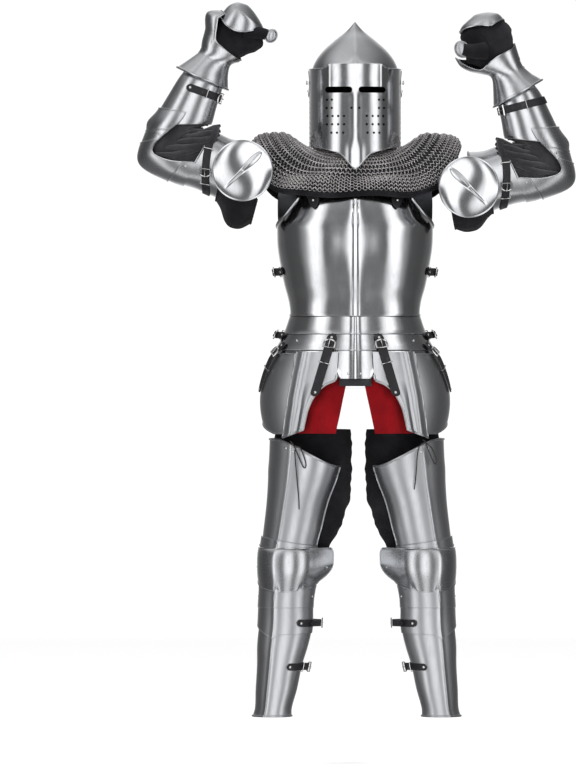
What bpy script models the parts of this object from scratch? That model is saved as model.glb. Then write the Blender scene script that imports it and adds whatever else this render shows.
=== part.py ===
"""Suit of plate armour, hollow, in the pose it is worn in, with both arms raised.

Metres, +Z up, +X towards the wearer's left arm, the breastplate faces -Y. The origin is midway
between the shoulders, where the straps of the breast and back carry the harness. Heights in the
tables are above the wearer's soles, and one empty at sole level brings them to the origin.
"""
import math

import bmesh
import bpy
from mathutils import Vector

SHOULDER_HEIGHT = 1.500   # shoulder straps above the wearer's soles
PLATE = 0.0018            # steel sheet
CLOTH = 0.0030            # quilted black arming cloth
LINING = 0.0016           # red woollen cloth
MAIL = 0.0030             # thickness of the ring mesh
LEATHER = 0.0028          # strap leather
GAP = 0.0006              # clearance where one piece lies over another
FRONT = Vector((0, -1, 0))
SIDES = {"right": -1, "left": 1}   # the wearer's side and its sign along X

# ---------------------------------------------------------------- materials
MATERIALS = {
    # name: (colour, roughness, metallic)
    "polished_steel": ((0.62, 0.63, 0.65), 0.22, 1.0),
    "steel_mail": ((0.30, 0.28, 0.28), 0.42, 1.0),
    "black_cloth": ((0.012, 0.012, 0.014), 0.90, 0.0),
    "red_wool": ((0.20, 0.004, 0.008), 0.92, 0.0),
    "strap_leather": ((0.028, 0.027, 0.030), 0.50, 0.0),
    "black_lace": ((0.010, 0.010, 0.011), 0.70, 0.0),
}


def material(name):
    found = bpy.data.materials.get(name)
    if found:
        return found
    colour, roughness, metallic = MATERIALS[name]
    made = bpy.data.materials.new(name)
    made.use_nodes = True
    shader = made.node_tree.nodes["Principled BSDF"]
    shader.inputs["Base Color"].default_value = (*colour, 1)
    shader.inputs["Roughness"].default_value = roughness
    shader.inputs["Metallic"].default_value = metallic
    return made


# ---------------------------------------------------------------- making shapes
def blend(low, high, share):
    return low + (high - low) * share


def power(value, exponent):
    """Signed power, which squares off a round section."""
    return math.copysign(abs(value) ** exponent, value)


def read(table, height, column):
    """A column of a table at any height, between its rows; the first column runs downwards."""
    rows = [row for row in table if row[0] is not None]
    if height >= rows[0][0]:
        return rows[0][column]
    for above, below in zip(rows, rows[1:]):
        if height >= below[0]:
            share = (above[0] - height) / (above[0] - below[0])
            return blend(above[column], below[column], share)
    return rows[-1][column]


def arc(core, side, half_width, front, back, start, stop, count,
        square=2.0, ridge=0.0, ridge_at=0.0, ahead=FRONT):
    """Points of one section round a core; angles in degrees from the front towards the side."""
    points = []
    for k in range(count):
        angle = math.radians(blend(start, stop, k / (count - 1)))
        across = half_width * power(math.sin(angle), 2 / square)
        turned = math.cos(angle)
        forward = (front if turned > 0 else back) * power(turned, 2 / square)
        off_ridge = (math.degrees(angle) - ridge_at) / 9
        forward += ridge * math.exp(-off_ridge * off_ridge)
        points.append(core + side * across + ahead * forward)
    return points


def loop(core, side, half_width, front, back, count, **shape):
    """A whole ring, without the repeated last point."""
    step = 360 / count
    return arc(core, side, half_width, front, back, -180, 180 - step, count, **shape)


def add(name, mesh_data, finish):
    """Turns a bmesh into a named object at sole level, smooth where it is round."""
    bmesh.ops.recalc_face_normals(mesh_data, faces=mesh_data.faces)
    mesh = bpy.data.meshes.new(name)
    mesh_data.to_mesh(mesh)
    mesh_data.free()
    made = bpy.data.objects.new(name, mesh)
    bpy.context.scene.collection.objects.link(made)
    made.parent = SOLE_LEVEL
    mesh.materials.append(material(finish))
    mesh.shade_smooth()
    mesh.set_sharp_from_angle(angle=math.radians(32))
    return made


def outward(rows, cores, closed):
    """Unit normals of a grid of points, pointing away from the cores."""
    normals = []
    last = len(rows) - 1
    for i, row in enumerate(rows):
        line = []
        count = len(row)
        for j, point in enumerate(row):
            before, after = (j - 1) % count, (j + 1) % count
            if not closed:
                before, after = max(j - 1, 0), min(j + 1, count - 1)
            along = row[after] - row[before]
            down = rows[min(i + 1, last)][j] - rows[max(i - 1, 0)][j]
            normal = along.cross(down).normalized()
            if normal.dot(point - cores[i]) < 0:
                normal = -normal
            line.append(normal)
        normals.append(line)
    return normals


def wall(name, rows, cores, thickness, finish, closed=False, capped=False):
    """A sheet through rows of points on its outer face, thickened towards the cores.

    closed rows are rings; capped closes the first ring over with a flat cap of its own.
    """
    normals = outward(rows, cores, closed)
    shape = bmesh.new()
    outer = [[shape.verts.new(p) for p in row] for row in rows]
    inner = [[shape.verts.new(p - n * thickness) for p, n in zip(row, line)]
             for row, line in zip(rows, normals)]
    count = len(rows[0])
    spans = range(count if closed else count - 1)
    for i in range(len(rows) - 1):
        for j in spans:
            k = (j + 1) % count
            shape.faces.new((outer[i][j], outer[i][k], outer[i + 1][k], outer[i + 1][j]))
            shape.faces.new((inner[i][k], inner[i][j], inner[i + 1][j], inner[i + 1][k]))
        if not closed:
            for j in (0, -1):
                shape.faces.new((outer[i][j], outer[i + 1][j], inner[i + 1][j], inner[i][j]))
    for i in (0, -1):
        if capped and i == 0:
            shape.faces.new(outer[0])
            shape.faces.new(inner[0])
            continue
        for j in spans:
            k = (j + 1) % count
            shape.faces.new((outer[i][k], outer[i][j], inner[i][j], inner[i][k]))
    return add(name, shape, finish)


def ribbon(name, spine, widths, outs, thickness, finish):
    """A strap or a band: a spine of points, its half-width vector and its outward vector."""
    shape = bmesh.new()
    sections = []
    for point, half, out in zip(spine, widths, outs):
        lift = out.normalized() * thickness
        corners = (point - half, point + half, point + half + lift, point - half + lift)
        sections.append([shape.verts.new(c) for c in corners])
    for near, far in zip(sections, sections[1:]):
        for j in range(4):
            k = (j + 1) % 4
            shape.faces.new((near[j], near[k], far[k], far[j]))
    shape.faces.new(sections[0])
    shape.faces.new(sections[-1])
    return add(name, shape, finish)


def cutter(name, mesh_data):
    """A hidden tool body for a Boolean."""
    tool = add(name, mesh_data, "polished_steel")
    tool.hide_render = True
    tool.display_type = "WIRE"
    return tool


def block(low, high):
    """A box between two corners."""
    shape = bmesh.new()
    bmesh.ops.create_cube(shape, size=1)
    for vert in shape.verts:
        vert.co = Vector(blend(low[k], high[k], vert.co[k] + 0.5) for k in range(3))
    return shape


def rod(start, end, radius, sides=12):
    """A cylinder from one point to another."""
    shape = bmesh.new()
    length = end - start
    bmesh.ops.create_cone(shape, cap_ends=True, segments=sides, radius1=radius, radius2=radius,
                          depth=length.length)
    turn = Vector((0, 0, 1)).rotation_difference(length)
    for vert in shape.verts:
        vert.co = turn @ vert.co + (start + end) / 2
    return shape


def boolean(target, tool, operation):
    change = target.modifiers.new(tool.name, "BOOLEAN")
    change.operation = operation
    change.solver = "EXACT"
    change.object = tool


for old in list(bpy.data.objects):
    bpy.data.objects.remove(old, do_unlink=True)
SOLE_LEVEL = bpy.data.objects.new("sole_level", None)
bpy.context.scene.collection.objects.link(SOLE_LEVEL)
SOLE_LEVEL.location = (0, 0, -SHOULDER_HEIGHT)


# ---------------------------------------------------------------- helmet
SKULL = (  # height, half_width, front, back, shift_back
    (1.910, 0.0030, 0.0030, 0.0030, 0.030),
    (1.889, 0.0190, 0.0200, 0.0220, 0.028),
    (1.864, 0.0500, 0.0560, 0.0560, 0.022),
    (1.838, 0.0790, 0.0860, 0.0880, 0.016),
    (1.812, 0.0990, 0.1060, 0.1120, 0.010),
    (1.785, 0.1100, 0.1180, 0.1270, 0.004),
    (1.735, 0.1135, 0.1230, 0.1360, 0.000),
    (1.590, 0.1120, 0.1160, 0.1180, 0.000),
)
VISOR_TOP = (1.797, 0.010)      # height at its sides, and the rise of its peak
VISOR_SIDE_FOOT = 1.590
VISOR_CHIN = 1.532
VISOR = (1.754, 0.1175, 0.1540)  # height of its hinge, half width, reach in front
VISOR_RIDGE = 0.012
VISOR_ENDS = 88                 # degrees from the front where the visor's sides end
HINGE_HEIGHT = 1.754
PIN_RADIUS = 0.0040
SLOT_HALF = (0.033, 0.0078)     # an eye slot's half length and half height
SLOT_AT = (0.042, 1.735)        # its centre from the middle, and height


def helmet_skull():
    rows, cores = [], []
    for height, half_width, front, back, shift in SKULL:
        core = Vector((0, shift, height))
        rows.append(loop(core, Vector((1, 0, 0)), half_width, front, back, 20))
        cores.append(core - Vector((0, 0, 0.03)))
    skull = wall("helmet_skull", rows, cores, PLATE, "polished_steel", closed=True, capped=True)
    face = block((-0.088, -0.20, 1.50), (0.088, -0.02, 1.785))
    boolean(skull, cutter("face_opening", face), "DIFFERENCE")
    for name, sign in SIDES.items():
        start = Vector((sign * 0.1112, -0.004, HINGE_HEIGHT))
        pin = rod(start, start + Vector((sign * 0.0140, 0, 0)), PIN_RADIUS)
        boolean(skull, cutter("temple_pin_" + name, pin), "UNION")
    return skull


def visor_foot(across):
    """Height of the visor's lower edge, pointed at the chin."""
    near_chin = math.exp(-(across / 0.026) ** 2)
    slope = min(across / 0.113, 1.0)
    return blend(1.566, VISOR_SIDE_FOOT, slope) - near_chin * (1.566 - VISOR_CHIN)


def visor():
    hinge, half_width, reach = VISOR
    steps, rows = 5, []
    columns = 19
    for i in range(steps + 1):
        share = i / steps
        points = arc(Vector((0, 0, 0)), Vector((1, 0, 0)), half_width, reach, 0.01,
                     -VISOR_ENDS, VISOR_ENDS, columns, square=2.25, ridge=VISOR_RIDGE)
        for point in points:
            across = abs(point.x)
            top = VISOR_TOP[0] + VISOR_TOP[1] * (1 - across / half_width)
            point.z = blend(top, visor_foot(across), share)
            lean = 0.020 * max(point.z - hinge, 0) / 0.05
            jaw = 0.012 * max(hinge - point.z, 0) / 0.22
            point.y *= 1 - (lean + jaw) / reach
        rows.append(points)
    cores = [Vector((0, 0, blend(1.80, 1.60, i / steps))) for i in range(steps + 1)]
    made = wall("visor", rows, cores, PLATE, "polished_steel")
    for name, sign in SIDES.items():
        middle = Vector((sign * SLOT_AT[0], -0.15, SLOT_AT[1]))
        half = Vector((SLOT_HALF[0], 0.06, SLOT_HALF[1]))
        boolean(made, cutter("eye_slot_" + name, block(middle - half, middle + half)), "DIFFERENCE")
        start = Vector((sign * 0.100, -0.004, HINGE_HEIGHT))
        hole = rod(start, start + Vector((sign * 0.03, 0, 0)), PIN_RADIUS + GAP, 14)
        boolean(made, cutter("hinge_hole_" + name, hole), "DIFFERENCE")
    return made


# ---------------------------------------------------------------- mail collar
COLLAR = (  # half_width, front, back, side_height, front_height, back_height, lift
    (0.098, 0.088, 0.098, 1.602, 1.604, 1.600, 2),
    (0.114, 0.103, 0.117, 1.580, 1.574, 1.574, 2),
    (0.146, 0.122, 0.140, 1.606, 1.560, 1.570, 3),
    (0.186, 0.136, 0.152, 1.626, 1.542, 1.552, 4),
    (0.238, 0.150, 0.162, 1.622, 1.516, 1.525, 5),
    (0.262, 0.159, 0.166, 1.608, 1.500, 1.500, 6),
    (0.270, 0.162, 0.168, 1.588, 1.480, 1.462, 7),
)
COLLAR_TURNS = 24
EDGING = (0.014, -0.016)   # its top and foot from the mail's hem


def collar_ring(row, inset=0.0, drop=0.0, front_only=0.0):
    half_width, front, back, side_height, front_height, back_height, lift = row
    ring = loop(Vector((0, 0, 0)), Vector((1, 0, 0)), half_width - inset, front - inset,
                back - inset, COLLAR_TURNS, square=2.2)
    for point in ring:
        sideways = min(abs(point.x) / half_width, 1.0) ** lift
        low = front_height if point.y < 0 else back_height
        point.z = blend(low, side_height, sideways) + drop
    return ring


def mail_collar():
    rows = [collar_ring(row) for row in COLLAR]
    cores = [Vector((0, 0, 1.40)) for _ in rows]
    cores[0] = Vector((0, 0, 1.56))
    wall("mail_collar", rows, cores, MAIL, "steel_mail", closed=True)


def collar_edging():
    hem = COLLAR[-1]
    inset = MAIL + 0.0045
    rows = [collar_ring(hem, inset + share * 0.001, blend(*EDGING, share)) for share in (0, 1)]
    cores = [Vector((0, 0, 1.50))] * 2
    wall("collar_edging", rows, cores, CLOTH + 0.001, "black_cloth", closed=True)


# ---------------------------------------------------------------- breast and back
TORSO = (  # height, half_width, front, back
    (1.500, 0.150, 0.122, 0.118),
    (1.465, 0.160, 0.134, 0.124),
    (1.420, 0.182, 0.148, 0.128),
    (1.385, 0.200, 0.156, 0.128),
    (1.340, 0.199, 0.162, 0.126),
    (1.290, 0.192, 0.160, 0.120),
    (1.235, 0.181, 0.146, 0.112),
    (1.190, 0.169, 0.130, 0.106),
    (1.158, 0.165, 0.124, 0.104),
)
BREAST_END = 96        # degrees from the front where the breastplate ends
KEEL = 0.006           # height of the breastplate's centre ridge
BREAST_NECK = 1.512    # top edge under the mail


def breast_end(height):
    """The breastplate is cut away for the arms above the side plates."""
    cut_away = min(max((height - 1.385) / 0.07, 0), 1)
    return blend(BREAST_END, 62, cut_away ** 0.6)


def breastplate():
    rows, cores = [], []
    for height, half_width, front, back in TORSO:
        end = breast_end(height)
        core = Vector((0, 0, height))
        rows.append(arc(core, Vector((1, 0, 0)), half_width, front, back, -end, end, 17,
                        square=2.25, ridge=KEEL))
        cores.append(core)
    wall("breastplate", rows, cores, PLATE, "polished_steel")


def backplate():
    rows, cores = [], []
    for height, half_width, front, back in TORSO:
        start = max(BREAST_END + 3, breast_end(height) + 3)
        core = Vector((0, 0, height))
        rows.append(arc(core, Vector((1, 0, 0)), half_width, front, back, start, 360 - start, 13,
                        square=2.25))
        cores.append(core)
    wall("backplate", rows, cores, PLATE, "polished_steel")


# ---------------------------------------------------------------- fauld and tassets
SKIRT = (  # height, half_width, front, back
    (1.1575, 0.1655, 0.1250, 0.1050),
    (1.114, 0.1810, 0.136, 0.114),
    (1.070, 0.2050, 0.148, 0.124),
    (1.000, 0.2260, 0.157, 0.136),
    (0.930, 0.2340, 0.160, 0.142),
    (0.840, 0.2280, 0.160, 0.142),
)
LAMES = (1.1575, 1.114, 1.070)    # top edges of the fauld's lames
LAME_STEP = 0.0012               # each lame stands this proud of the next one down
FAULD_FOOT = 1.034
FAULD_BACK_FOOT = 0.972
FAULD_POINT = 0.998              # the centre panel's lower edge
FAULD_POINT_HALF = 0.040


def skirt_point(height, out, angle=None, across=None, lift=0.0):
    """A point on the skirt's surface, by its angle from the front or its place across."""
    half_width = read(SKIRT, height, 1) + lift
    front, back = read(SKIRT, height, 2) + lift, read(SKIRT, height, 3) + lift
    if angle is None:
        sine = max(min(across / half_width, 1), -1)
        return Vector((across, -front * math.sqrt(1 - sine * sine) - out, height))
    turn = math.radians(angle)
    depth = front if math.cos(turn) > 0 else back
    return Vector((half_width * math.sin(turn), -depth * math.cos(turn) - out, height))


def fauld_foot(across):
    """Lower edge of the front fauld, drawn down to its centre panel."""
    slope = min(max((abs(across) - FAULD_POINT_HALF) / 0.03, 0), 1)
    return blend(FAULD_POINT, FAULD_FOOT, slope)


def fauld(name, start, stop, count, foot):
    """Lames as steps of one sheet, from the waist to the foot."""
    rows, cores = [], []
    heights = []
    for top, below in zip(LAMES, LAMES[1:] + (FAULD_FOOT,)):
        heights += [(top, below, 0.02), (top, below, 0.94)]
    for k, (top, below, share) in enumerate(heights):
        lift = LAME_STEP * (1 - k // 2)
        row = []
        for j in range(count):
            angle = blend(start, stop, j / (count - 1))
            across = read(SKIRT, below, 1) * math.sin(math.radians(angle))
            low = foot(across) if k // 2 == len(LAMES) - 1 else below
            height = blend(top, low, 1.0 if k == len(heights) - 1 else share)
            point = skirt_point(height, 0, angle, lift=lift)
            if abs(angle) < 3 and foot is fauld_foot:
                point.y -= 0.004
            row.append(point)
        rows.append(row)
        cores.append(Vector((0, 0, top)))
    wall(name, rows, cores, PLATE, "polished_steel")


def red_lining(name, sign):
    rows, cores = [], []
    for share in (0, 0.25, 0.5, 0.75, 1):
        height = blend(1.028, 0.858, share)
        near, far = blend(0.014, 0.050, share), blend(0.150, 0.176, share)
        row = []
        for k in range(7):
            across = blend(near, far, k / 6)
            row.append(skirt_point(height, 0, across=sign * across, lift=-0.0085))
        rows.append(row)
        cores.append(Vector((0, 0, height)))
    wall("red_lining_" + name, rows, cores, LINING, "red_wool")


TASSET_FRONT = (  # height, outer_across, inner_across: its two edges from the centre line
    (1.066, 0.149, 0.044),
    (1.030, 0.156, 0.046),
    (0.996, 0.163, 0.050),
    (0.984, 0.165, 0.074),
    (0.970, 0.168, 0.092),
    (0.948, 0.172, 0.108),
    (0.925, 0.175, 0.119),
    (0.896, 0.180, 0.127),
    (0.868, 0.186, 0.133),
)
TASSET_FOOT_DROP = 0.020     # the outer lower corner hangs this much lower
TASSET_CREASE = 0.022        # width of the creased band along the outer edge
TASSET_LIFT = 0.0066         # how far the front tassets stand off the skirt
TASSET_SIDE_LIFT = 0.0040


def tasset_front(name, sign):
    rows, cores = [], []
    last = TASSET_FRONT[-1][0]
    for height, outer, inner in TASSET_FRONT:
        row = []
        for k in range(8):
            across = blend(inner, outer, k / 7)
            low = height - (TASSET_FOOT_DROP * k / 7 if height == last else 0)
            crease = 0.003 if k == 6 else 0
            row.append(skirt_point(low, crease, across=sign * across, lift=TASSET_LIFT))
        rows.append(row)
        cores.append(Vector((0, 0, height)))
    wall("tasset_front_" + name, rows, cores, PLATE, "polished_steel")


TASSET_SIDE = (  # height, front_angle, back_angle: its two edges from the front
    (1.060, 46, 112),
    (1.020, 44, 122),
    (0.975, 43, 129),
    (0.930, 43, 130),
    (0.902, 44, 112),
    (0.882, 46, 91),
    (0.867, 49, 74),
    (0.858, 53, 63),
)


def tasset_side(name, sign):
    rows, cores = [], []
    for height, start, stop in TASSET_SIDE:
        rows.append([skirt_point(height, 0, sign * blend(start, stop, k / 8), lift=TASSET_SIDE_LIFT)
                     for k in range(9)])
        cores.append(Vector((0, 0, height)))
    wall("tasset_side_" + name, rows, cores, PLATE, "polished_steel")


# ---------------------------------------------------------------- straps on the body
STRAP_HALF = 0.0125
TASSET_STRAP = ((1.108, 0.058), (0.953, 0.105))      # height and place across, top and foot
HIP_STRAP = ((1.086, 66.0), (0.962, 84.0))           # height and angle, top and foot
STRAP_STEPS = 7


def tasset_front_strap(name, sign):
    (top, near), (foot, far) = TASSET_STRAP
    spine, widths, outs = [], [], []
    lift = TASSET_LIFT + 3 * GAP
    for k in range(STRAP_STEPS):
        share = k / (STRAP_STEPS - 1)
        height, across = blend(top, foot, share), sign * blend(near, far, share)
        spine.append(skirt_point(height, 0, across=across, lift=lift))
        edge = skirt_point(height, 0, across=across + 0.01, lift=lift)
        widths.append((edge - spine[-1]).normalized() * STRAP_HALF)
        outs.append(Vector((spine[-1].x * 0.6, -0.16, 0)))
    ribbon("tasset_front_strap_" + name, spine, widths, outs, LEATHER, "strap_leather")


def tasset_side_strap(name, sign):
    (top, near), (foot, far) = HIP_STRAP
    spine, widths, outs = [], [], []
    for k in range(STRAP_STEPS):
        share = k / (STRAP_STEPS - 1)
        height, angle = blend(top, foot, share), sign * blend(near, far, share)
        lift = TASSET_SIDE_LIFT + 2 * GAP
        spine.append(skirt_point(height, 0, angle, lift=lift))
        edge = skirt_point(height, 0, angle + 3, lift=lift)
        widths.append((edge - spine[-1]).normalized() * STRAP_HALF)
        outs.append(Vector((spine[-1].x, spine[-1].y, 0)))
    ribbon("tasset_side_strap_" + name, spine, widths, outs, LEATHER, "strap_leather")


def girth_strap(label, sign, height, half_height, lift):
    """A strap over the side seam, from the front plate to the back plate."""
    on_skirt = height < SKIRT[0][0]
    table, square = (SKIRT, 2.0) if on_skirt else (TORSO, 2.25)
    rows, cores = [], []
    for edge in (1, -1):
        level = height + edge * half_height
        half_width, front, back = (read(table, level, c) + lift + LEATHER for c in (1, 2, 3))
        core = Vector((0, 0, level))
        rows.append(arc(core, Vector((sign, 0, 0)), half_width, front, back, 76, 118,
                        STRAP_STEPS, square=square))
        cores.append(core)
    wall(label, rows, cores, LEATHER, "strap_leather")


# ---------------------------------------------------------------- arms
SHOULDER = {"right": (0.285, 1.522), "left": (0.289, 1.495)}   # across and height
ARM_SWING = {"right": 0.0, "left": -5.5}    # degrees the whole arm is lowered by
ARM = (  # out, up: from the shoulder; tilt of the section's width; half_width, half_depth
    (0.012, 0.003, -76, 0.0810, 0.0760),    # 0 armpit
    (0.048, 0.012, -77, 0.0780, 0.0730),    # 1
    (0.091, 0.031, -69, 0.0770, 0.0690),    # 2
    (0.130, 0.046, -53, 0.0840, 0.0660),    # 3 above the elbow
    (0.158, 0.063, -37, 0.0910, 0.0640),    # 4
    (0.175, 0.083, -23, 0.0950, 0.0630),    # 5 point of the elbow
    (0.1685, 0.110, -9, 0.0835, 0.0620),    # 6
    (0.153, 0.138, 5, 0.0740, 0.0600),      # 7 below the elbow
    (0.131, 0.1855, 14, 0.0640, 0.0540),    # 8
    (0.1075, 0.232, 24, 0.0560, 0.0470),    # 9
    (0.0880, 0.262, 28, 0.0445, 0.0410),    # 10 wrist
)
ARM_TURNS = 16      # points round an arm plate
COUTER = (  # arm_row, start_angle, stop_angle, lift: the elbow cop's lames
    (2.75, 12, 205, 0.0030),
    (3.20, 16, 205, 0.0034),
    (3.25, 18, 205, 0.0052),
    (4.10, 30, 205, 0.0060),
    (5.00, 38, 205, 0.0085),
    (5.60, 30, 205, 0.0066),
    (5.66, 26, 205, 0.0052),
    (6.20, 14, 205, 0.0050),
    (6.26, 12, 205, 0.0044),
    (6.80, 6, 205, 0.0044),
    (7.40, 2, 205, 0.0044),
)
ELBOW_CLOTH = (  # arm_row, inner_share: how far the cloth reaches into the crook
    (2.60, 0.92),
    (3.60, 0.83),
    (4.60, 0.74),
    (5.60, 0.75),
    (6.60, 0.88),
    (7.05, 0.93),
)


class Section:
    """One section across an arm or a hand, with its own width and depth directions."""

    def __init__(self, name, values):
        sign, swing = SIDES[name], math.radians(ARM_SWING[name])
        across, height = SHOULDER[name]
        out, up, tilt, self.half_width, self.half_depth = values
        turned_out = out * math.cos(swing) - up * math.sin(swing)
        turned_up = out * math.sin(swing) + up * math.cos(swing)
        tilted = math.radians(tilt) + swing
        self.core = Vector((sign * (across + turned_out), 0, height + turned_up))
        self.side = Vector((sign * math.cos(tilted), 0, math.sin(tilted)))

    def ring(self, count, lift=0.0, **shape):
        wide, deep = self.half_width + lift, self.half_depth + lift
        return loop(self.core, self.side, wide, deep, deep, count, **shape)

    def arc(self, start, stop, count, lift=0.0, **shape):
        wide, deep = self.half_width + lift, self.half_depth + lift
        return arc(self.core, self.side, wide, deep, deep, start, stop, count, **shape)


def arm_section(name, row, table=ARM):
    """A section between two rows of a table."""
    low = min(max(int(row), 0), len(table) - 2)
    share = row - low
    values = [blend(a, b, share) for a, b in zip(table[low], table[low + 1])]
    return Section(name, values)


def tube(name, sections, count, thickness, finish, lift=0.0, **shape):
    rows = [section.ring(count, lift, **shape) for section in sections]
    wall(name, rows, [section.core for section in sections], thickness, finish, closed=True)


def rerebrace(name):
    rows = (0, 0.7, 1.4, 2.1, 2.62)
    tube("rerebrace_" + name, [arm_section(name, row) for row in rows], ARM_TURNS, PLATE,
         "polished_steel")


def couter(name):
    rows, cores = [], []
    for row, start, stop, lift in COUTER:
        section = arm_section(name, row)
        rows.append(section.arc(start, stop, 11, lift))
        cores.append(section.core)
    wall("couter_" + name, rows, cores, PLATE, "polished_steel")


def vambrace(name):
    rows = (6.6, 7.0, 7.6, 8.2, 9.0, 10.0)
    tube("vambrace_" + name, [arm_section(name, row) for row in rows], ARM_TURNS, PLATE,
         "polished_steel")


def elbow_cloth(name):
    """The arming sleeve in the crook, drawn in on the inner side."""
    rows, cores = [], []
    for row, inner in ELBOW_CLOTH:
        section = arm_section(name, row)
        ring = section.ring(14, -0.0045)
        for point in ring:
            inward = (point - section.core).dot(section.side)
            if inward < 0:
                point += section.side * inward * (inner - 1)
        rows.append(ring)
        cores.append(section.core)
    wall("elbow_cloth_" + name, rows, cores, CLOTH, "black_cloth", closed=True)


UNDERARM = (  # arm_row, sag below the arm: rows below 0 lie towards the body
    (-1.70, 0.030),
    (-1.10, 0.050),
    (-0.40, 0.056),
    (0.20, 0.044),
    (0.70, 0.018),
    (1.10, 0.003),
)
UNDERARM_SHARE = {"right": 1.0, "left": 0.62}    # the left arm's padding hangs less


def underarm_pad(name):
    """The padding that hangs below the upper arm, from the front of the arm to its back."""
    rows, cores = [], []
    for row, sag in UNDERARM:
        section = arm_section(name, row)
        arc_points = section.arc(38, 142, 9, CLOTH + 2 * GAP)
        for j, point in enumerate(arc_points):
            hang = math.sin(math.pi * j / 8)
            point += section.side * sag * UNDERARM_SHARE[name] * hang
        rows.append(arc_points)
        cores.append(section.core)
    wall("underarm_pad_" + name, rows, cores, CLOTH, "black_cloth")


def arm_strap(label, name, row, start, stop, half_rows, lift, slant=0.0):
    """A strap round the arm, lying on it; its ends are counted in points round the plate."""
    rows, cores = [], []
    for edge in (-1, 1):
        points = []
        for k in range(start, stop + 1):
            angle = k * 360 / ARM_TURNS
            section = arm_section(name, row + edge * half_rows
                                  - slant * math.sin(math.radians(angle)))
            points.append(section.arc(angle, angle + 1, 2, lift + LEATHER)[0])
        rows.append(points)
        cores.append(arm_section(name, row + edge * half_rows).core)
    wall(label, rows, cores, LEATHER, "strap_leather")


ARM_STRAP = (-5, 5)       # its two ends, in points round the plate from the front
WRIST_STRAP = {"right": (-5, 1), "left": (-5, 5)}


BESAGEW = {"right": (0.287, 1.528), "left": (0.289, 1.486)}   # across and height of its centre
BESAGEW_RADIUS = 0.076
BESAGEW_RIM = -0.133          # how far in front of the shoulders its rim lies
BESAGEW_DOME = 0.014
BESAGEW_TURN = 0.18           # how steeply it faces outward
FLUTE = (0.0075, 0.010)       # height and half width of its diagonal flute


def besagew(name, sign):
    across, height = BESAGEW[name]
    rows, cores = [], []
    for share in (0.15, 0.55, 0.92, 1.0):
        radius = BESAGEW_RADIUS * share
        core = Vector((sign * across, BESAGEW_RIM, height))
        ring = loop(core, Vector((1, 0, 0)), radius, radius, radius, 20, ahead=Vector((0, 0, 1)))
        for point in ring:
            off = point - core
            diagonal = abs(off.z - sign * -1 * off.x) / math.sqrt(2)
            flute = FLUTE[0] * math.exp(-(diagonal / FLUTE[1]) ** 2) * (1 - share ** 6)
            point.y -= BESAGEW_DOME * (1 - share * share) + flute
            point.y += sign * (point.x - core.x) * BESAGEW_TURN
        rows.append(ring)
        cores.append(core + Vector((0, 0.15, 0)))
    wall("besagew_" + name, rows, cores, PLATE, "polished_steel", closed=True, capped=True)


# ---------------------------------------------------------------- hands
PALM = (0.0285, 0.3520)      # middle of the palm from the shoulder: out and up
HAND_TILT = 33               # tilt of the hand's width
# rows of a hand: shift and reach (across and along the hand), tilt, half_width, half_depth
GAUNTLET = {
    "right": (
        (0.0048, -0.1332, 24, 0.0716, 0.0640),   # 0 cuff's rim
        (0.0054, -0.1157, 25, 0.0620, 0.0560),   # 1
        (0.0060, -0.0946, 27, 0.0510, 0.0455),   # 2
        (0.0058, -0.0710, 28, 0.0430, 0.0370),   # 3 wrist
        (0.0046, -0.0507, 31, 0.0530, 0.0390),   # 4
        (0.0040, -0.0258, 33, 0.0620, 0.0410),   # 5 palm
        (0.0110, -0.0030, 33, 0.0700, 0.0420),   # 6
        (0.0150, 0.0130, 33, 0.0715, 0.0415),    # 7 knuckles
        (0.0140, 0.0270, 33, 0.0640, 0.0390),    # 8
        (0.0110, 0.0400, 33, 0.0470, 0.0350),    # 9
    ),
    "left": (
        (0.0048, -0.1332, 35, 0.0716, 0.0640),
        (0.0054, -0.1157, 32, 0.0620, 0.0560),
        (0.0060, -0.0946, 28, 0.0510, 0.0455),
        (0.0058, -0.0710, 28, 0.0430, 0.0370),
        (-0.0010, -0.0507, 31, 0.0510, 0.0390),
        (-0.0120, -0.0258, 33, 0.0665, 0.0410),
        (-0.0170, -0.0010, 33, 0.0765, 0.0420),
        (-0.0170, 0.0210, 33, 0.0780, 0.0420),
    ),
}
HAND_RIM = {  # angle, gauntlet_row: the hand plate's far edge round the hand
    "right": ((-180, 7.6), (-150, 5.4), (-120, 4.6), (-90, 4.4), (-45, 4.3), (0, 4.45),
              (33, 4.85), (50, 5.8), (66, 6.8), (90, 8.0), (105, 8.6), (125, 8.9), (145, 8.8),
              (165, 8.3), (180, 7.6)),
    "left": ((-180, 5.8), (-135, 6.2), (-90, 7.0), (-64, 6.0), (-55, 4.9), (-45, 4.55),
             (-7, 4.86), (15, 5.0), (51, 5.0), (90, 5.4), (135, 5.4), (180, 5.8)),
}
FINGERS = {
    "right": (
        (0.0100, 0.0840, 33, 0.0080, 0.0060),    # 0 tip of the closed fingers
        (0.0090, 0.0800, 33, 0.0260, 0.0200),    # 1
        (0.0030, 0.0700, 33, 0.0420, 0.0340),    # 2
        (-0.0030, 0.0560, 33, 0.0545, 0.0450),   # 3
        (-0.0040, 0.0250, 33, 0.0590, 0.0500),   # 4
        (-0.0040, 0.0000, 33, 0.0600, 0.0500),   # 5
        (-0.0040, -0.0200, 33, 0.0595, 0.0490),  # 6
    ),
    "left": (
        (0.0000, 0.0930, 33, 0.0080, 0.0060),
        (-0.0020, 0.0895, 33, 0.0280, 0.0200),
        (-0.0040, 0.0830, 33, 0.0430, 0.0320),
        (-0.0010, 0.0700, 33, 0.0560, 0.0430),
        (0.0020, 0.0500, 33, 0.0580, 0.0500),
        (0.0020, 0.0200, 33, 0.0620, 0.0510),
        (0.0000, -0.0100, 33, 0.0630, 0.0500),
    ),
}
FINGER_STEPS = {"right": (0, 1, 2, 2.7), "left": (0, 1, 2, 2.3)}
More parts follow.
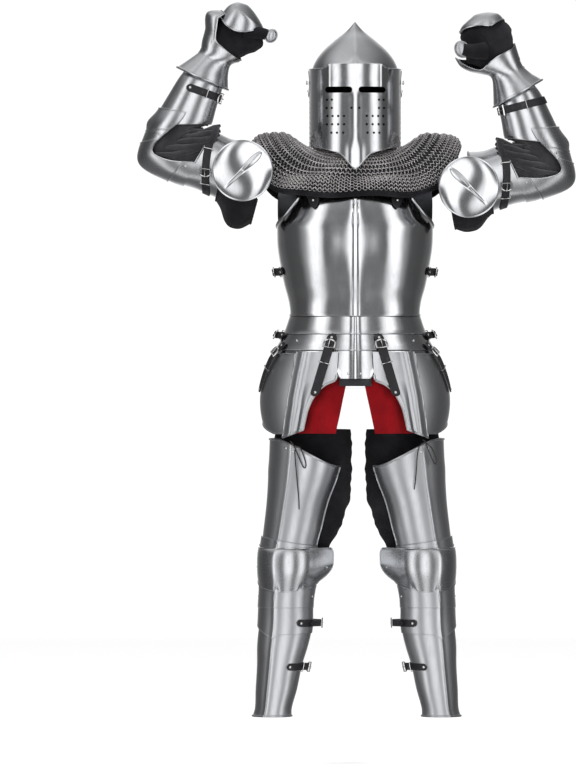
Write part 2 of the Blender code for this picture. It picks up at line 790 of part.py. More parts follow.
FINGER_RIM = {  # angle, fingers_row
    "right": ((-180, 5.5), (-157, 5.0), (-135, 4.0), (-112, 3.3), (-90, 3.05), (-40, 3.43),
              (-18, 3.95), (2, 4.35), (25, 4.45), (54, 4.2), (75, 4.05), (90, 3.7), (112, 3.42),
              (137, 3.42), (157, 4.4), (180, 5.5)),
    "left": ((-180, 5.4), (-157, 5.0), (-135, 4.2), (-112, 3.1), (-90, 2.7), (-43, 2.6),
             (-4, 3.17), (22, 3.88), (45, 3.84), (90, 3.96), (135, 4.8), (180, 5.4)),
}
GLOVE = {
    "right": (
        (0.0060, 0.0650, 33, 0.0140, 0.0090), (0.0050, 0.0590, 33, 0.0345, 0.0210),
        (-0.0060, 0.0440, 33, 0.0530, 0.0290), (-0.0170, 0.0200, 33, 0.0620, 0.0350),
        (-0.0120, -0.0030, 33, 0.0580, 0.0350), (-0.0010, -0.0330, 32, 0.0480, 0.0340),
        (0.0058, -0.0710, 28, 0.0370, 0.0310)),
    "left": (
        (-0.0030, 0.0810, 33, 0.0140, 0.0090), (-0.0030, 0.0760, 33, 0.0340, 0.0200),
        (-0.0060, 0.0640, 33, 0.0530, 0.0290), (0.0010, 0.0357, 33, 0.0635, 0.0350),
        (-0.0020, 0.0173, 33, 0.0670, 0.0360), (-0.0080, -0.0020, 33, 0.0660, 0.0360),
        (-0.0010, -0.0330, 32, 0.0480, 0.0340), (0.0058, -0.0710, 28, 0.0370, 0.0310)),
}
THUMB = {  # centre of the thumb's plate across and along the hand, its radius, and its depths
    "right": (-0.0837, 0.0530, 0.0150, (-0.046, -0.034, 0.004)),
    "left": (-0.0718, 0.0321, 0.0185, (-0.066, -0.054, -0.038)),
}


def hand_section(name, table, row):
    """A section between two rows of a hand's table."""
    low = min(int(row), len(table) - 2)
    share = row - low
    shift, reach, tilt, wide, deep = (blend(a, b, share)
                                      for a, b in zip(table[low], table[low + 1]))
    turn = math.radians(HAND_TILT)
    out = PALM[0] + shift * math.cos(turn) - reach * math.sin(turn)
    up = PALM[1] + shift * math.sin(turn) + reach * math.cos(turn)
    return Section(name, (out, up, tilt, wide, deep))


def rim_row(rim, angle):
    """The row that a rim reaches at an angle round the hand."""
    for (start, low), (stop, high) in zip(rim, rim[1:]):
        if angle <= stop:
            return blend(low, high, (angle - start) / (stop - start))
    return rim[-1][1]


def rimmed(label, name, table, rows, rim, count, capped, finish=("polished_steel", PLATE)):
    """A ringed sheet whose last rows run out to an uneven rim."""
    sections = [hand_section(name, table, row) for row in rows]
    rings = [section.ring(count) for section in sections]
    cores = [section.core for section in sections]
    for share in (0.5, 1.0):
        ring = []
        for k in range(count):
            angle = -180 + 360 * k / count
            row = blend(rows[-1], rim_row(rim, angle), share)
            ring.append(hand_section(name, table, row).arc(angle, angle + 1, 2)[0])
        rings.append(ring)
        last = min(len(table) - 1.5, 6.5)
        cores.append(hand_section(name, table, blend(rows[-1], last, share)).core)
    wall(label, rings, cores, finish[1], finish[0], closed=True, capped=capped)


def gauntlet(name):
    """Flared cuff, wrist and hand plate; the hand plate is cut away over the palm."""
    rimmed("gauntlet_" + name, name, GAUNTLET[name], (0, 1, 2, 3, 3.7), HAND_RIM[name], 18, False)


def finger_plate(name):
    """The mitten plate, curved over the closed fingers."""
    rimmed("finger_plate_" + name, name, FINGERS[name], FINGER_STEPS[name], FINGER_RIM[name], 16,
           True)


def glove(name):
    """The glove's closed fist, open at the wrist."""
    sections = [hand_section(name, GLOVE[name], row) for row in range(len(GLOVE[name]))]
    rows = [section.ring(14) for section in sections]
    cores = [section.core for section in sections]
    cores[0] = cores[1] = cores[2]
    wall("glove_" + name, rows, cores, CLOTH, "black_cloth", closed=True, capped=True)


def thumb_plate(name):
    """The thumb's plate, a short tube that is seen from its end."""
    across, reach, size, depths = THUMB[name]
    table = ((across, reach, HAND_TILT, size, size),) * 2
    section = hand_section(name, table, 0)
    along = section.side.cross(FRONT).normalized()
    rows, cores = [], []
    for depth, share in zip(depths, (0.94, 1.06, 1.0)):
        core = section.core + Vector((0, depth, 0))
        radius = size * share
        rows.append(loop(core, section.side, radius, radius * 1.2, radius * 1.2, 12, ahead=along))
        cores.append(core)
    wall("thumb_plate_" + name, rows, cores, PLATE, "polished_steel", closed=True)


# ---------------------------------------------------------------- legs
LEG_SPREAD = {"right": 0.000, "left": 0.009}
LEG_TURN = 26          # degrees each leg is turned outward
LEG = (  # height, out, half_width, front, back
    (0.860, 0.1215, 0.0960, 0.098, 0.092),
    (0.773, 0.1270, 0.0950, 0.096, 0.090),
    (0.737, 0.1330, 0.0900, 0.092, 0.088),
    (0.686, 0.1445, 0.0815, 0.086, 0.082),
    (0.609, 0.1590, 0.0755, 0.078, 0.074),
    (0.563, 0.1677, 0.0725, 0.075, 0.068),
    (0.507, 0.1700, 0.0720, 0.078, 0.062),
    (0.455, 0.1735, 0.0680, 0.070, 0.062),
    (0.430, 0.1755, 0.0670, 0.068, 0.064),
    (0.353, 0.1790, 0.0680, 0.062, 0.072),
    (0.315, 0.1850, 0.0655, 0.060, 0.072),
    (0.264, 0.1930, 0.0580, 0.056, 0.066),
    (0.200, 0.2016, 0.0530, 0.052, 0.056),
    (0.150, 0.2095, 0.0475, 0.050, 0.050),
    (0.134, 0.2120, 0.0500, 0.053, 0.053),
)
CUISSE_TOP = (0.773, 0.842)      # its top edge on the inner side and on the outer side
CUISSE_SPAN = (-70, 128)         # degrees round the thigh from the front
CUISSE_FOOT = 0.566
POLEYN = (  # height, lift, inner_angle, outer_angle, wing
    (0.578, 0.0036, -66, 100, 0.000),
    (0.564, 0.0046, -76, 102, 0.010),
    (0.560, 0.0072, -86, 104, 0.028),
    (0.535, 0.0110, -90, 110, 0.034),
    (0.505, 0.0120, -90, 110, 0.029),
    (0.474, 0.0084, -86, 104, 0.013),
    (0.462, 0.0066, -80, 100, 0.002),
    (0.459, 0.0054, -78, 98, 0.000),
    (0.416, 0.0052, -78, 96, 0.000),
    (0.413, 0.0040, -76, 94, 0.000),
)
FLAP = (  # angle, height of the flap's foot: a point at the outer side
    (-78, 0.347), (14, 0.343), (26, 0.333), (60, 0.352), (96, 0.369),
)
OVER_FLAP = 0.0054               # the calf strap lies over the flap
GREAVE_TOP = 0.442
SHIN_RIDGE = 0.004
PADDING = (  # height, inner_edge, outer_inset, front, back
    (0.867, 0.016, 0.014, 0.036, 0.094),
    (0.815, 0.014, 0.010, 0.030, 0.090),
    (0.694, 0.018, 0.010, 0.030, 0.086),
    (0.650, 0.032, 0.010, 0.030, 0.082),
    (0.600, 0.050, 0.010, 0.030, 0.076),
    (0.565, 0.071, 0.010, 0.018, 0.070),
    (0.530, 0.083, 0.010, 0.022, 0.066),
    (0.490, 0.092, 0.010, 0.036, 0.062),
    (0.455, 0.1125, 0.010, 0.050, 0.056),
    (0.425, 0.1140, 0.010, 0.050, 0.056),
)
PADDING_SPREAD = {"right": -0.006, "left": 0.003}   # how much less full its inner side is


def leg_row(name, height, start, stop, count, lift=0.0, ridge=0.0):
    """Part of a section round a leg, with its core; the leg's front is turned outward."""
    sign = SIDES[name]
    half_width, front, back = (read(LEG, height, c) + lift for c in (2, 3, 4))
    core = Vector((sign * (read(LEG, height, 1) + LEG_SPREAD[name]), 0, height))
    points = arc(core, Vector((sign, 0, 0)), half_width, front, back, start, stop, count,
                 ridge=ridge, ridge_at=LEG_TURN)
    return points, core


def cuisse(name):
    rows, cores = [], []
    start, stop = CUISSE_SPAN
    count, steps = 13, 5
    for i in range(steps):
        row, middle = [], None
        for k in range(count):
            angle = blend(start, stop, k / (count - 1))
            outer = min(max((angle + 60) / 120, 0), 1)
            top = blend(*CUISSE_TOP, outer * outer * (3 - 2 * outer))
            height = blend(top, CUISSE_FOOT, (i / (steps - 1)) ** 0.9)
            points, core = leg_row(name, height, angle, angle + 1, 2, ridge=0.002)
            row.append(points[0])
            middle = middle or core
        rows.append(row)
        cores.append(Vector((middle.x, 0, blend(CUISSE_TOP[1], CUISSE_FOOT, i / (steps - 1)))))
    wall("cuisse_" + name, rows, cores, PLATE, "polished_steel")


def poleyn(name):
    """Knee cop with its inner wing, the lames above and below it, and the pointed flap."""
    rows, cores = [], []
    count = 14
    for height, lift, start, stop, wing in POLEYN:
        points, core = leg_row(name, height, start, stop, count, lift, SHIN_RIDGE)
        for k, share in ((0, 1.0), (1, 0.62), (2, 0.22)):
            points[k].x -= SIDES[name] * wing * share
            points[k].y -= wing * 0.45 * share
        rows.append(points)
        cores.append(core)
    _, lift, start, stop, _ = POLEYN[-1]
    for step in (0.5, 1.0):
        row = []
        for k in range(count):
            angle = blend(start, stop, k / (count - 1))
            height = blend(POLEYN[-1][0], rim_row(FLAP, angle), step)
            points, core = leg_row(name, height, angle, angle + 1, 2, lift, SHIN_RIDGE)
            row.append(points[0])
        rows.append(row)
        cores.append(core)
    wall("poleyn_" + name, rows, cores, PLATE, "polished_steel")


def greave(name):
    rows, cores = [], []
    for height in (GREAVE_TOP, 0.400, 0.340, 0.264, 0.200, 0.150, 0.134):
        points, core = leg_row(name, height, -180, 157.5, 16, ridge=SHIN_RIDGE)
        rows.append(points)
        cores.append(core)
    wall("greave_" + name, rows, cores, PLATE, "polished_steel", closed=True)


def leg_padding(name):
    """Quilted leg of the arming hose, fuller than the cuisse on the inner side."""
    sign = SIDES[name]
    rows, cores = [], []
    for height, inner, inset, front, back in PADDING:
        outer = read(LEG, height, 1) + read(LEG, height, 2) + LEG_SPREAD[name] - inset
        fullness = min(max((height - 0.47) / 0.15, 0), 1)
        inner += LEG_SPREAD[name] + PADDING_SPREAD[name] * fullness
        core = Vector((sign * (outer + inner) / 2, 0.004, height))
        rows.append(loop(core, Vector((sign, 0, 0)), (outer - inner) / 2, front, back - 0.010, 14))
        cores.append(core)
    wall("leg_padding_" + name, rows, cores, CLOTH, "black_cloth", closed=True)


def leg_strap(label, name, height, start, stop, half_height, steps=6, over=0.0):
    """A strap round the inner side of the calf, lying on it or over the flap."""
    rows, cores = [], []
    for edge in (1, -1):
        points, core = leg_row(name, height + edge * half_height, start, stop, steps,
                               over + 2 * GAP + LEATHER)
        rows.append(points)
        cores.append(core)
    wall(label, rows, cores, LEATHER, "strap_leather")


LACE_RADIUS = 0.0016
LACES = {  # from the eyelet at the cuisse's top, round one loop, to the free end
    "right": ((-0.166, -0.1010, 0.838), (-0.160, -0.1065, 0.832), (-0.150, -0.1085, 0.812),
              (-0.140, -0.1090, 0.788), (-0.133, -0.1090, 0.773), (-0.127, -0.1090, 0.771),
              (-0.126, -0.1095, 0.781), (-0.132, -0.1110, 0.802), (-0.140, -0.1125, 0.820),
              (-0.149, -0.1125, 0.824), (-0.154, -0.1110, 0.812), (-0.152, -0.1090, 0.780),
              (-0.148, -0.1050, 0.735), (-0.144, -0.1010, 0.690), (-0.143, -0.0990, 0.664)),
    "left": ((0.172, -0.1010, 0.842), (0.178, -0.1045, 0.836), (0.188, -0.1010, 0.812),
             (0.197, -0.0950, 0.790), (0.204, -0.0900, 0.780), (0.207, -0.0890, 0.789),
             (0.201, -0.0980, 0.809), (0.190, -0.1080, 0.826), (0.176, -0.1130, 0.834),
             (0.163, -0.1140, 0.824), (0.158, -0.1130, 0.800), (0.156, -0.1110, 0.770),
             (0.153, -0.1080, 0.735), (0.150, -0.1060, 0.715)),
}
LACE_STEPS = 2               # points read from the smooth route for each stretch


def smooth_route(points, steps):
    """Points along a smooth curve through the route's own points."""
    route = [Vector(p) for p in points]
    ends = [route[0] * 2 - route[1]] + route + [route[-1] * 2 - route[-2]]
    read_points = []
    for a, b, c, d in zip(ends, ends[1:], ends[2:], ends[3:]):
        for k in range(steps):
            t = k / steps
            read_points.append(0.5 * (2 * b + (c - a) * t + (2 * a - 5 * b + 4 * c - d) * t * t
                                      + (3 * b - a - 3 * c + d) * t * t * t))
    return read_points + [route[-1]]


def lace(name):
    points = smooth_route(LACES[name], LACE_STEPS)
    curve = bpy.data.curves.new("lace_" + name, "CURVE")
    curve.dimensions = "3D"
    curve.bevel_depth = LACE_RADIUS
    curve.bevel_resolution = 2
    curve.use_fill_caps = True
    spline = curve.splines.new("POLY")
    spline.points.add(len(points) - 1)
    for slot, point in zip(spline.points, points):
        slot.co = (*point, 1)
    curve.materials.append(material("black_lace"))
    made = bpy.data.objects.new("lace_" + name, curve)
    bpy.context.scene.collection.objects.link(made)
    made.parent = SOLE_LEVEL


# ---------------------------------------------------------------- the suit
def build():
    helmet_skull()
    visor()
    mail_collar()
    collar_edging()
    breastplate()
    backplate()
    fauld("fauld_front", -94, 94, 21, fauld_foot)
    fauld("fauld_back", 97, 263, 13, lambda across: FAULD_BACK_FOOT)
    for name, sign in SIDES.items():
        red_lining(name, sign)
        tasset_front(name, sign)
        tasset_side(name, sign)
        tasset_front_strap(name, sign)
        tasset_side_strap(name, sign)
        girth_strap("chest_strap_" + name, sign, 1.270, 0.010, 3 * GAP)
        girth_strap("hip_strap_" + name, sign, 1.108, 0.009, LAME_STEP + 3 * GAP)
        rerebrace(name)
        couter(name)
        vambrace(name)
        elbow_cloth(name)
        underarm_pad(name)
        arm_strap("arm_strap_" + name, name, 2.10, *ARM_STRAP, 0.22, 2 * GAP, slant=0.5)
        arm_strap("wrist_strap_" + name, name, 8.55, *WRIST_STRAP[name], 0.18, 2 * GAP)
        besagew(name, sign)
        gauntlet(name)
        finger_plate(name)
        glove(name)
        thumb_plate(name)
        cuisse(name)
        poleyn(name)
        greave(name)
        leg_padding(name)
        leg_strap("calf_strap_" + name, name, 0.372, -22.5, -135, 0.0095, over=OVER_FLAP)
        leg_strap("ankle_strap_" + name, name, 0.260, -22.5, -135, 0.0085)
        lace(name)


build()
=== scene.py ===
"""Looks of the suit of plate armour: polished plates, mail, leather, black and red cloth."""
import math

import bmesh
import bpy
import numpy as np
from mathutils import Matrix, Vector


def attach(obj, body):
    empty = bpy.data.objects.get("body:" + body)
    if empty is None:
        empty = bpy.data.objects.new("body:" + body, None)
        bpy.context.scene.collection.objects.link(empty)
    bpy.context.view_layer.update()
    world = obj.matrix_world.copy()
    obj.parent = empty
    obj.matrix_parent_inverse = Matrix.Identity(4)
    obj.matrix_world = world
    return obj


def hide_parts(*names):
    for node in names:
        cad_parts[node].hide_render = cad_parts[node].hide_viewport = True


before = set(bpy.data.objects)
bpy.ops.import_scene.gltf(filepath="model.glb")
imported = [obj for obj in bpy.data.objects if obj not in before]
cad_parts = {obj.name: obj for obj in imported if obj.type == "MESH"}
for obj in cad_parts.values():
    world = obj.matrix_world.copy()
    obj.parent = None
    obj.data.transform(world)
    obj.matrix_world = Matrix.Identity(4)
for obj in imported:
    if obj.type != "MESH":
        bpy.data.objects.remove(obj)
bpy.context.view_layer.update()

SHOULDER_HEIGHT = 1.5   # the wearer's shoulders above the soles; the frame's origin is between them
PLATE, CLOTH, LINING, MAIL, LEATHER = 0.0018, 0.0030, 0.0016, 0.0030, 0.0028
GAP = 0.0006
SUIT, VISOR_BODY = "suit", "visor"
SIDES = {"right": -1, "left": 1}
RIGHTWARD = np.array((1.0, 0.0, 0.0))
FRONT = np.array((0.0, -1.0, 0.0))
UP = np.array((0.0, 0.0, 1.0))


# ================================================================ shader expressions


class Value:
    """A socket in a shader tree that can be used in Python expressions."""

    def __init__(self, tree, socket):
        self.tree, self.socket = tree, socket

    def node(self, kind, settings=None, **sockets):
        """Adds a node: its settings first, then the values or links of its sockets."""
        made = self.tree.nodes.new(kind)
        for key, setting in (settings or {}).items():
            if key == "ramp":
                stops = made.color_ramp.elements
                while len(stops) < len(setting):
                    stops.new(0.5)
                for stop, (place, colour) in zip(stops, setting):
                    stop.position, stop.color = place, (*colour, 1)
            else:
                setattr(made, key, setting)
        for key, value in sockets.items():
            index = int(key[1:]) if key[0] == "n" and key[1:].isdigit() else key.replace("_", " ")
            socket = made.inputs[index]
            if isinstance(value, Value):
                self.tree.links.new(value.socket, socket)
            else:
                socket.default_value = value
        return made

    def value(self, kind, output=0, settings=None, **sockets):
        return Value(self.tree, self.node(kind, settings, **sockets).outputs[output])

    def math(self, operation, other=0.0, third=0.0, clamp=False):
        return self.value("ShaderNodeMath", 0, {"operation": operation, "use_clamp": clamp},
                          n0=self, n1=other, n2=third)

    def __add__(self, other):
        return self.math("ADD", other)

    def __mul__(self, other):
        return self.math("MULTIPLY", other)

    def __rsub__(self, other):
        return self * -1.0 + other

    __radd__ = __add__
    __rmul__ = __mul__

    def clamp(self):
        return self.math("ADD", 0.0, clamp=True)

    def step(self, low, high):
        """0 below low, 1 above high, smooth between."""
        return self.value("ShaderNodeMapRange", 0, {"interpolation_type": "SMOOTHSTEP"},
                          Value=self, From_Min=low, From_Max=high)

    def mix(self, first, second):
        """A colour between two, by this value."""
        made = self.node("ShaderNodeMix", {"data_type": "RGBA"}, Factor=self)
        for socket, colour in ((made.inputs[6], first), (made.inputs[7], second)):
            if isinstance(colour, Value):
                self.tree.links.new(colour.socket, socket)
            else:
                socket.default_value = (*colour, 1)
        return Value(self.tree, made.outputs[2])

    def scaled(self, *factors):
        """A vector stretched along its axes."""
        return self.value("ShaderNodeVectorMath", 0, {"operation": "MULTIPLY"}, n0=self, n1=factors)

    def noise(self, scale, detail=2.0, roughness=0.5, distortion=0.0):
        return self.value("ShaderNodeTexNoise", Vector=self, Scale=scale, Detail=detail,
                          Roughness=roughness, Distortion=distortion)

    def bands(self, direction, scale, distortion):
        return self.value("ShaderNodeTexWave", 1, {"wave_type": "BANDS",
                                                   "bands_direction": direction},
                          Vector=self, Scale=scale, Distortion=distortion)

    def axis(self, name):
        return self.value("ShaderNodeSeparateXYZ", "XYZ".index(name), Vector=self)


class Finish:
    """A material under way: its place coordinates, and its Principled shader."""

    def __init__(self, name, slot):
        self.material, self.slot = bpy.data.materials.new(name), slot
        self.material.use_nodes = True
        self.tree = self.material.node_tree
        self.shader = self.tree.nodes["Principled BSDF"]
        self.place = Value(self.tree, self.tree.nodes.new("ShaderNodeTexCoord").outputs["Object"])

    def set(self, **sockets):
        for key, value in sockets.items():
            socket = self.shader.inputs[key.replace("_", " ")]
            if isinstance(value, Value):
                self.tree.links.new(value.socket, socket)
            elif hasattr(value, "__len__"):
                socket.default_value = (*value, 1) if len(value) == 3 else value
            else:
                socket.default_value = value

    def bump(self, height, strength, distance=0.001):
        self.set(Normal=height.value("ShaderNodeBump", Height=height, Strength=strength,
                                     Distance=distance))


def steel_finish(name, tint, roughness, waviness, scale=1.0):
    """Hand-polished plate: soft hammered waves, streaks of polish and hairline scratches."""
    steel = Finish(name, "polished_steel")
    place = steel.place
    waves = place.noise(16 * scale, 1.0)
    cloudy = place.noise(6.5, 3.0, 0.55).step(0.35, 0.70)
    streaks = place.scaled(70, 70, 9).noise(3.0, 3.0, 0.6).step(0.42, 0.72)
    hairs = place.scaled(14, 14, 260).noise(2.0, 2.0, 0.5).step(0.60, 0.75)
    dark = tuple(0.80 * channel for channel in tint)
    steel.set(Base_Color=(cloudy * 0.40 + streaks * 0.22).clamp().mix(tint, dark), Metallic=1.0,
              Roughness=(streaks * 0.04 + cloudy * 0.06 + hairs * 0.04 + roughness).clamp())
    steel.bump(waves * waviness + streaks * 0.008 + hairs * 0.006, 0.35, 0.002)
    return steel


def cloth_finish(name, slot, dark, light, weave, fuzz=0.12):
    """Woven cloth: crossed thread waves and soft fading."""
    cloth = Finish(name, slot)
    place = cloth.place
    first, second, third = (place.scaled(*axes).bands("X", 1.0, 0.6) for axes in (
        (weave, 0.0, weave), (weave, 0.0, -weave), (0.0, weave, weave)))
    threads = first + second + third
    fade = place.noise(14, 4.0, 0.6)
    fine = place.noise(420, 2.0)
    cloth.set(Base_Color=(fade.step(0.35, 0.75) * 0.7 + fine * 0.3).clamp().mix(dark, light),
              Roughness=fine * 0.12 + 0.80, Sheen_Weight=fuzz, Sheen_Roughness=0.5,
              Specular_IOR_Level=0.12)
    cloth.bump(threads * 0.3 + fine * 0.6 + fade * 0.4, 0.5, 0.0012)
    return cloth


def leather_finish():
    leather = Finish("leather_straps", "strap_leather")
    place = leather.place
    grain = place.value("ShaderNodeTexVoronoi", 0, {"feature": "F1"}, Vector=place, Scale=620.0)
    worn = place.noise(38, 4.0, 0.65).step(0.50, 0.75)
    leather.set(Base_Color=worn.mix((0.010, 0.010, 0.012), (0.034, 0.033, 0.036)),
                Roughness=worn * 0.16 + grain * 0.15 + 0.40, Specular_IOR_Level=0.32)
    leather.bump(grain * 0.5 + worn * 0.5, 0.5, 0.0006)
    return leather


def mail_finish():
    mail = Finish("mail_rings", "steel_mail")
    place = mail.place
    patches = place.noise(22, 3.0, 0.6).step(0.35, 0.70)
    each = place.noise(130, 1.0).step(0.30, 0.70)
    worn = (patches * 0.55 + each * 0.45).clamp()
    mail.set(Base_Color=worn.mix((0.86, 0.83, 0.83), (0.52, 0.49, 0.49)),
             Metallic=1.0, Roughness=each * 0.10 + patches * 0.08 + 0.20)
    mail.bump(each * 0.5 + patches * 0.5, 0.2, 0.0004)
    return mail


def lace_finish():
    lace = Finish("braided_lace", "black_lace")
    braid = lace.place.bands("Z", 160.0, 3.0)
    lace.set(Base_Color=braid.mix((0.010, 0.010, 0.011), (0.030, 0.030, 0.032)), Roughness=0.72)
    lace.bump(braid, 0.5, 0.0004)
    return lace


STEEL = steel_finish("polished_plate", (0.72, 0.73, 0.75), 0.125, 0.50)
STEEL_SATIN = steel_finish("satin_plate", (0.60, 0.61, 0.63), 0.33, 0.30)
STEEL_ARM = steel_finish("arm_plate", (0.62, 0.63, 0.65), 0.20, 0.50)
# painted shade: a darkened copy of the plate steel for the plates beside the armholes, standing in
# for the shadow under the arms
STEEL_PAINTED_SHADE = steel_finish("side_plate", (0.26, 0.27, 0.29), 0.30, 0.40)
STEEL_HELMET = steel_finish("helmet_plate", (0.68, 0.69, 0.71), 0.14, 0.30)
# inner faces of the helmet plates: rough unpolished steel, and their near-black colour is painted
# shade for the dark inside of the helmet
INSIDE_PAINTED_SHADE = Finish("unpolished_inside_painted_shade", "polished_steel")
INSIDE_PAINTED_SHADE.set(Base_Color=(0.035, 0.035, 0.037), Metallic=0.6, Roughness=0.60)
TRIM = steel_finish("buckles_and_rivets", (0.78, 0.78, 0.78), 0.16, 0.10, 3.0)
RINGS = mail_finish()
SLEEVE = cloth_finish("sleeve_cloth", "black_cloth", (0.008, 0.008, 0.010),
                      (0.040, 0.040, 0.044), 900.0, 0.22)
BLACK = cloth_finish("black_arming_cloth", "black_cloth", (0.004, 0.004, 0.005),
                     (0.017, 0.017, 0.020), 900.0, 0.04)
RED = cloth_finish("red_woollen_cloth", "red_wool", (0.13, 0.001, 0.003), (0.22, 0.003, 0.006),
                   700.0, 0.02)
LEATHER_FINISH = leather_finish()
LACE = lace_finish()


# ================================================================ shapes


def blend(low, high, share):
    return low + (high - low) * share


def smooth(value, low=0.0, high=1.0):
    share = np.clip((value - low) / (high - low), 0, 1)
    return share * share * (3 - 2 * share)


def unit(vectors):
    length = np.linalg.norm(vectors, axis=-1, keepdims=True)
    return vectors / np.maximum(length, 1e-9)


class Track:
    """Smooth values between a table's rows; the first column is the key."""

    def __init__(self, table, keyed=True):
        rows = np.array(table, float)
        if not keyed:
            rows = np.column_stack((np.arange(len(rows)), rows))
        rows = rows[np.argsort(rows[:, 0])]
        self.keys, self.rows = rows[:, 0], rows[:, 1:]
        gaps = np.diff(self.keys)[:, None]
        chords = np.diff(self.rows, axis=0) / gaps
        slopes = np.vstack((chords[:1], (chords[:-1] * gaps[1:] + chords[1:] * gaps[:-1])
                            / (gaps[1:] + gaps[:-1]), chords[-1:]))
        turning = chords[:-1] * chords[1:] <= 0
        slopes[1:-1][turning] = 0
        limit = 3 * np.minimum(np.abs(np.vstack((chords[:1], chords))),
                               np.abs(np.vstack((chords, chords[-1:]))))
        self.slopes = np.clip(slopes, -limit, limit)

    def __call__(self, key):
        key = np.clip(np.asarray(key, float), self.keys[0], self.keys[-1])
        low = np.clip(np.searchsorted(self.keys, key, side="right") - 1, 0, len(self.keys) - 2)
        gap = self.keys[low + 1] - self.keys[low]
        t = ((key - self.keys[low]) / gap)[..., None]
        gap = gap[..., None]
        t2, t3 = t * t, t * t * t
        return ((2 * t3 - 3 * t2 + 1) * self.rows[low] + (t3 - 2 * t2 + t) * gap * self.slopes[low]
                + (3 * t2 - 2 * t3) * self.rows[low + 1] + (t3 - t2) * gap * self.slopes[low + 1])


def section(core, side, wide, front, back, angles, square=2.0, ahead=FRONT):
    """Points round a core; angles in degrees from the front towards the side."""
    turn = np.radians(angles)
    sine, cosine = np.sin(turn), np.cos(turn)
    across = wide * np.sign(sine) * np.abs(sine) ** (2 / square)
    forward = np.where(cosine > 0, front, back) * np.sign(cosine) * np.abs(cosine) ** (2 / square)
    return np.asarray(core) + np.outer(across, side) + np.outer(forward, ahead)


def normals_of(rows, cores, closed):
    """Unit normals over a grid of points, pointing away from the cores."""
    if closed:
        along = np.roll(rows, -1, 1) - np.roll(rows, 1, 1)
    else:
        along = np.gradient(rows, axis=1)
    normals = unit(np.cross(along, np.gradient(rows, axis=0)))
    away = np.einsum("ijk,ijk->ij", normals, rows - np.asarray(cores)[:, None, :])
    return normals * (np.sign(away.sum()) or 1)


def grid(count, width, wrap=False, closed=False):
    """Quads between rows of points; wrap joins each row's ends, closed the last and first row."""
    faces = []
    for i in range(count if closed else count - 1):
        here, there = i * width, (i + 1) % count * width
        for j in range(width if wrap else width - 1):
            k = (j + 1) % width
            faces.append((here + j, here + k, there + k, there + j))
    return faces


def caps(count, width):
    """The two ends of a bar made of rings."""
    return [tuple(range(width))[::-1], tuple(range((count - 1) * width, count * width))]


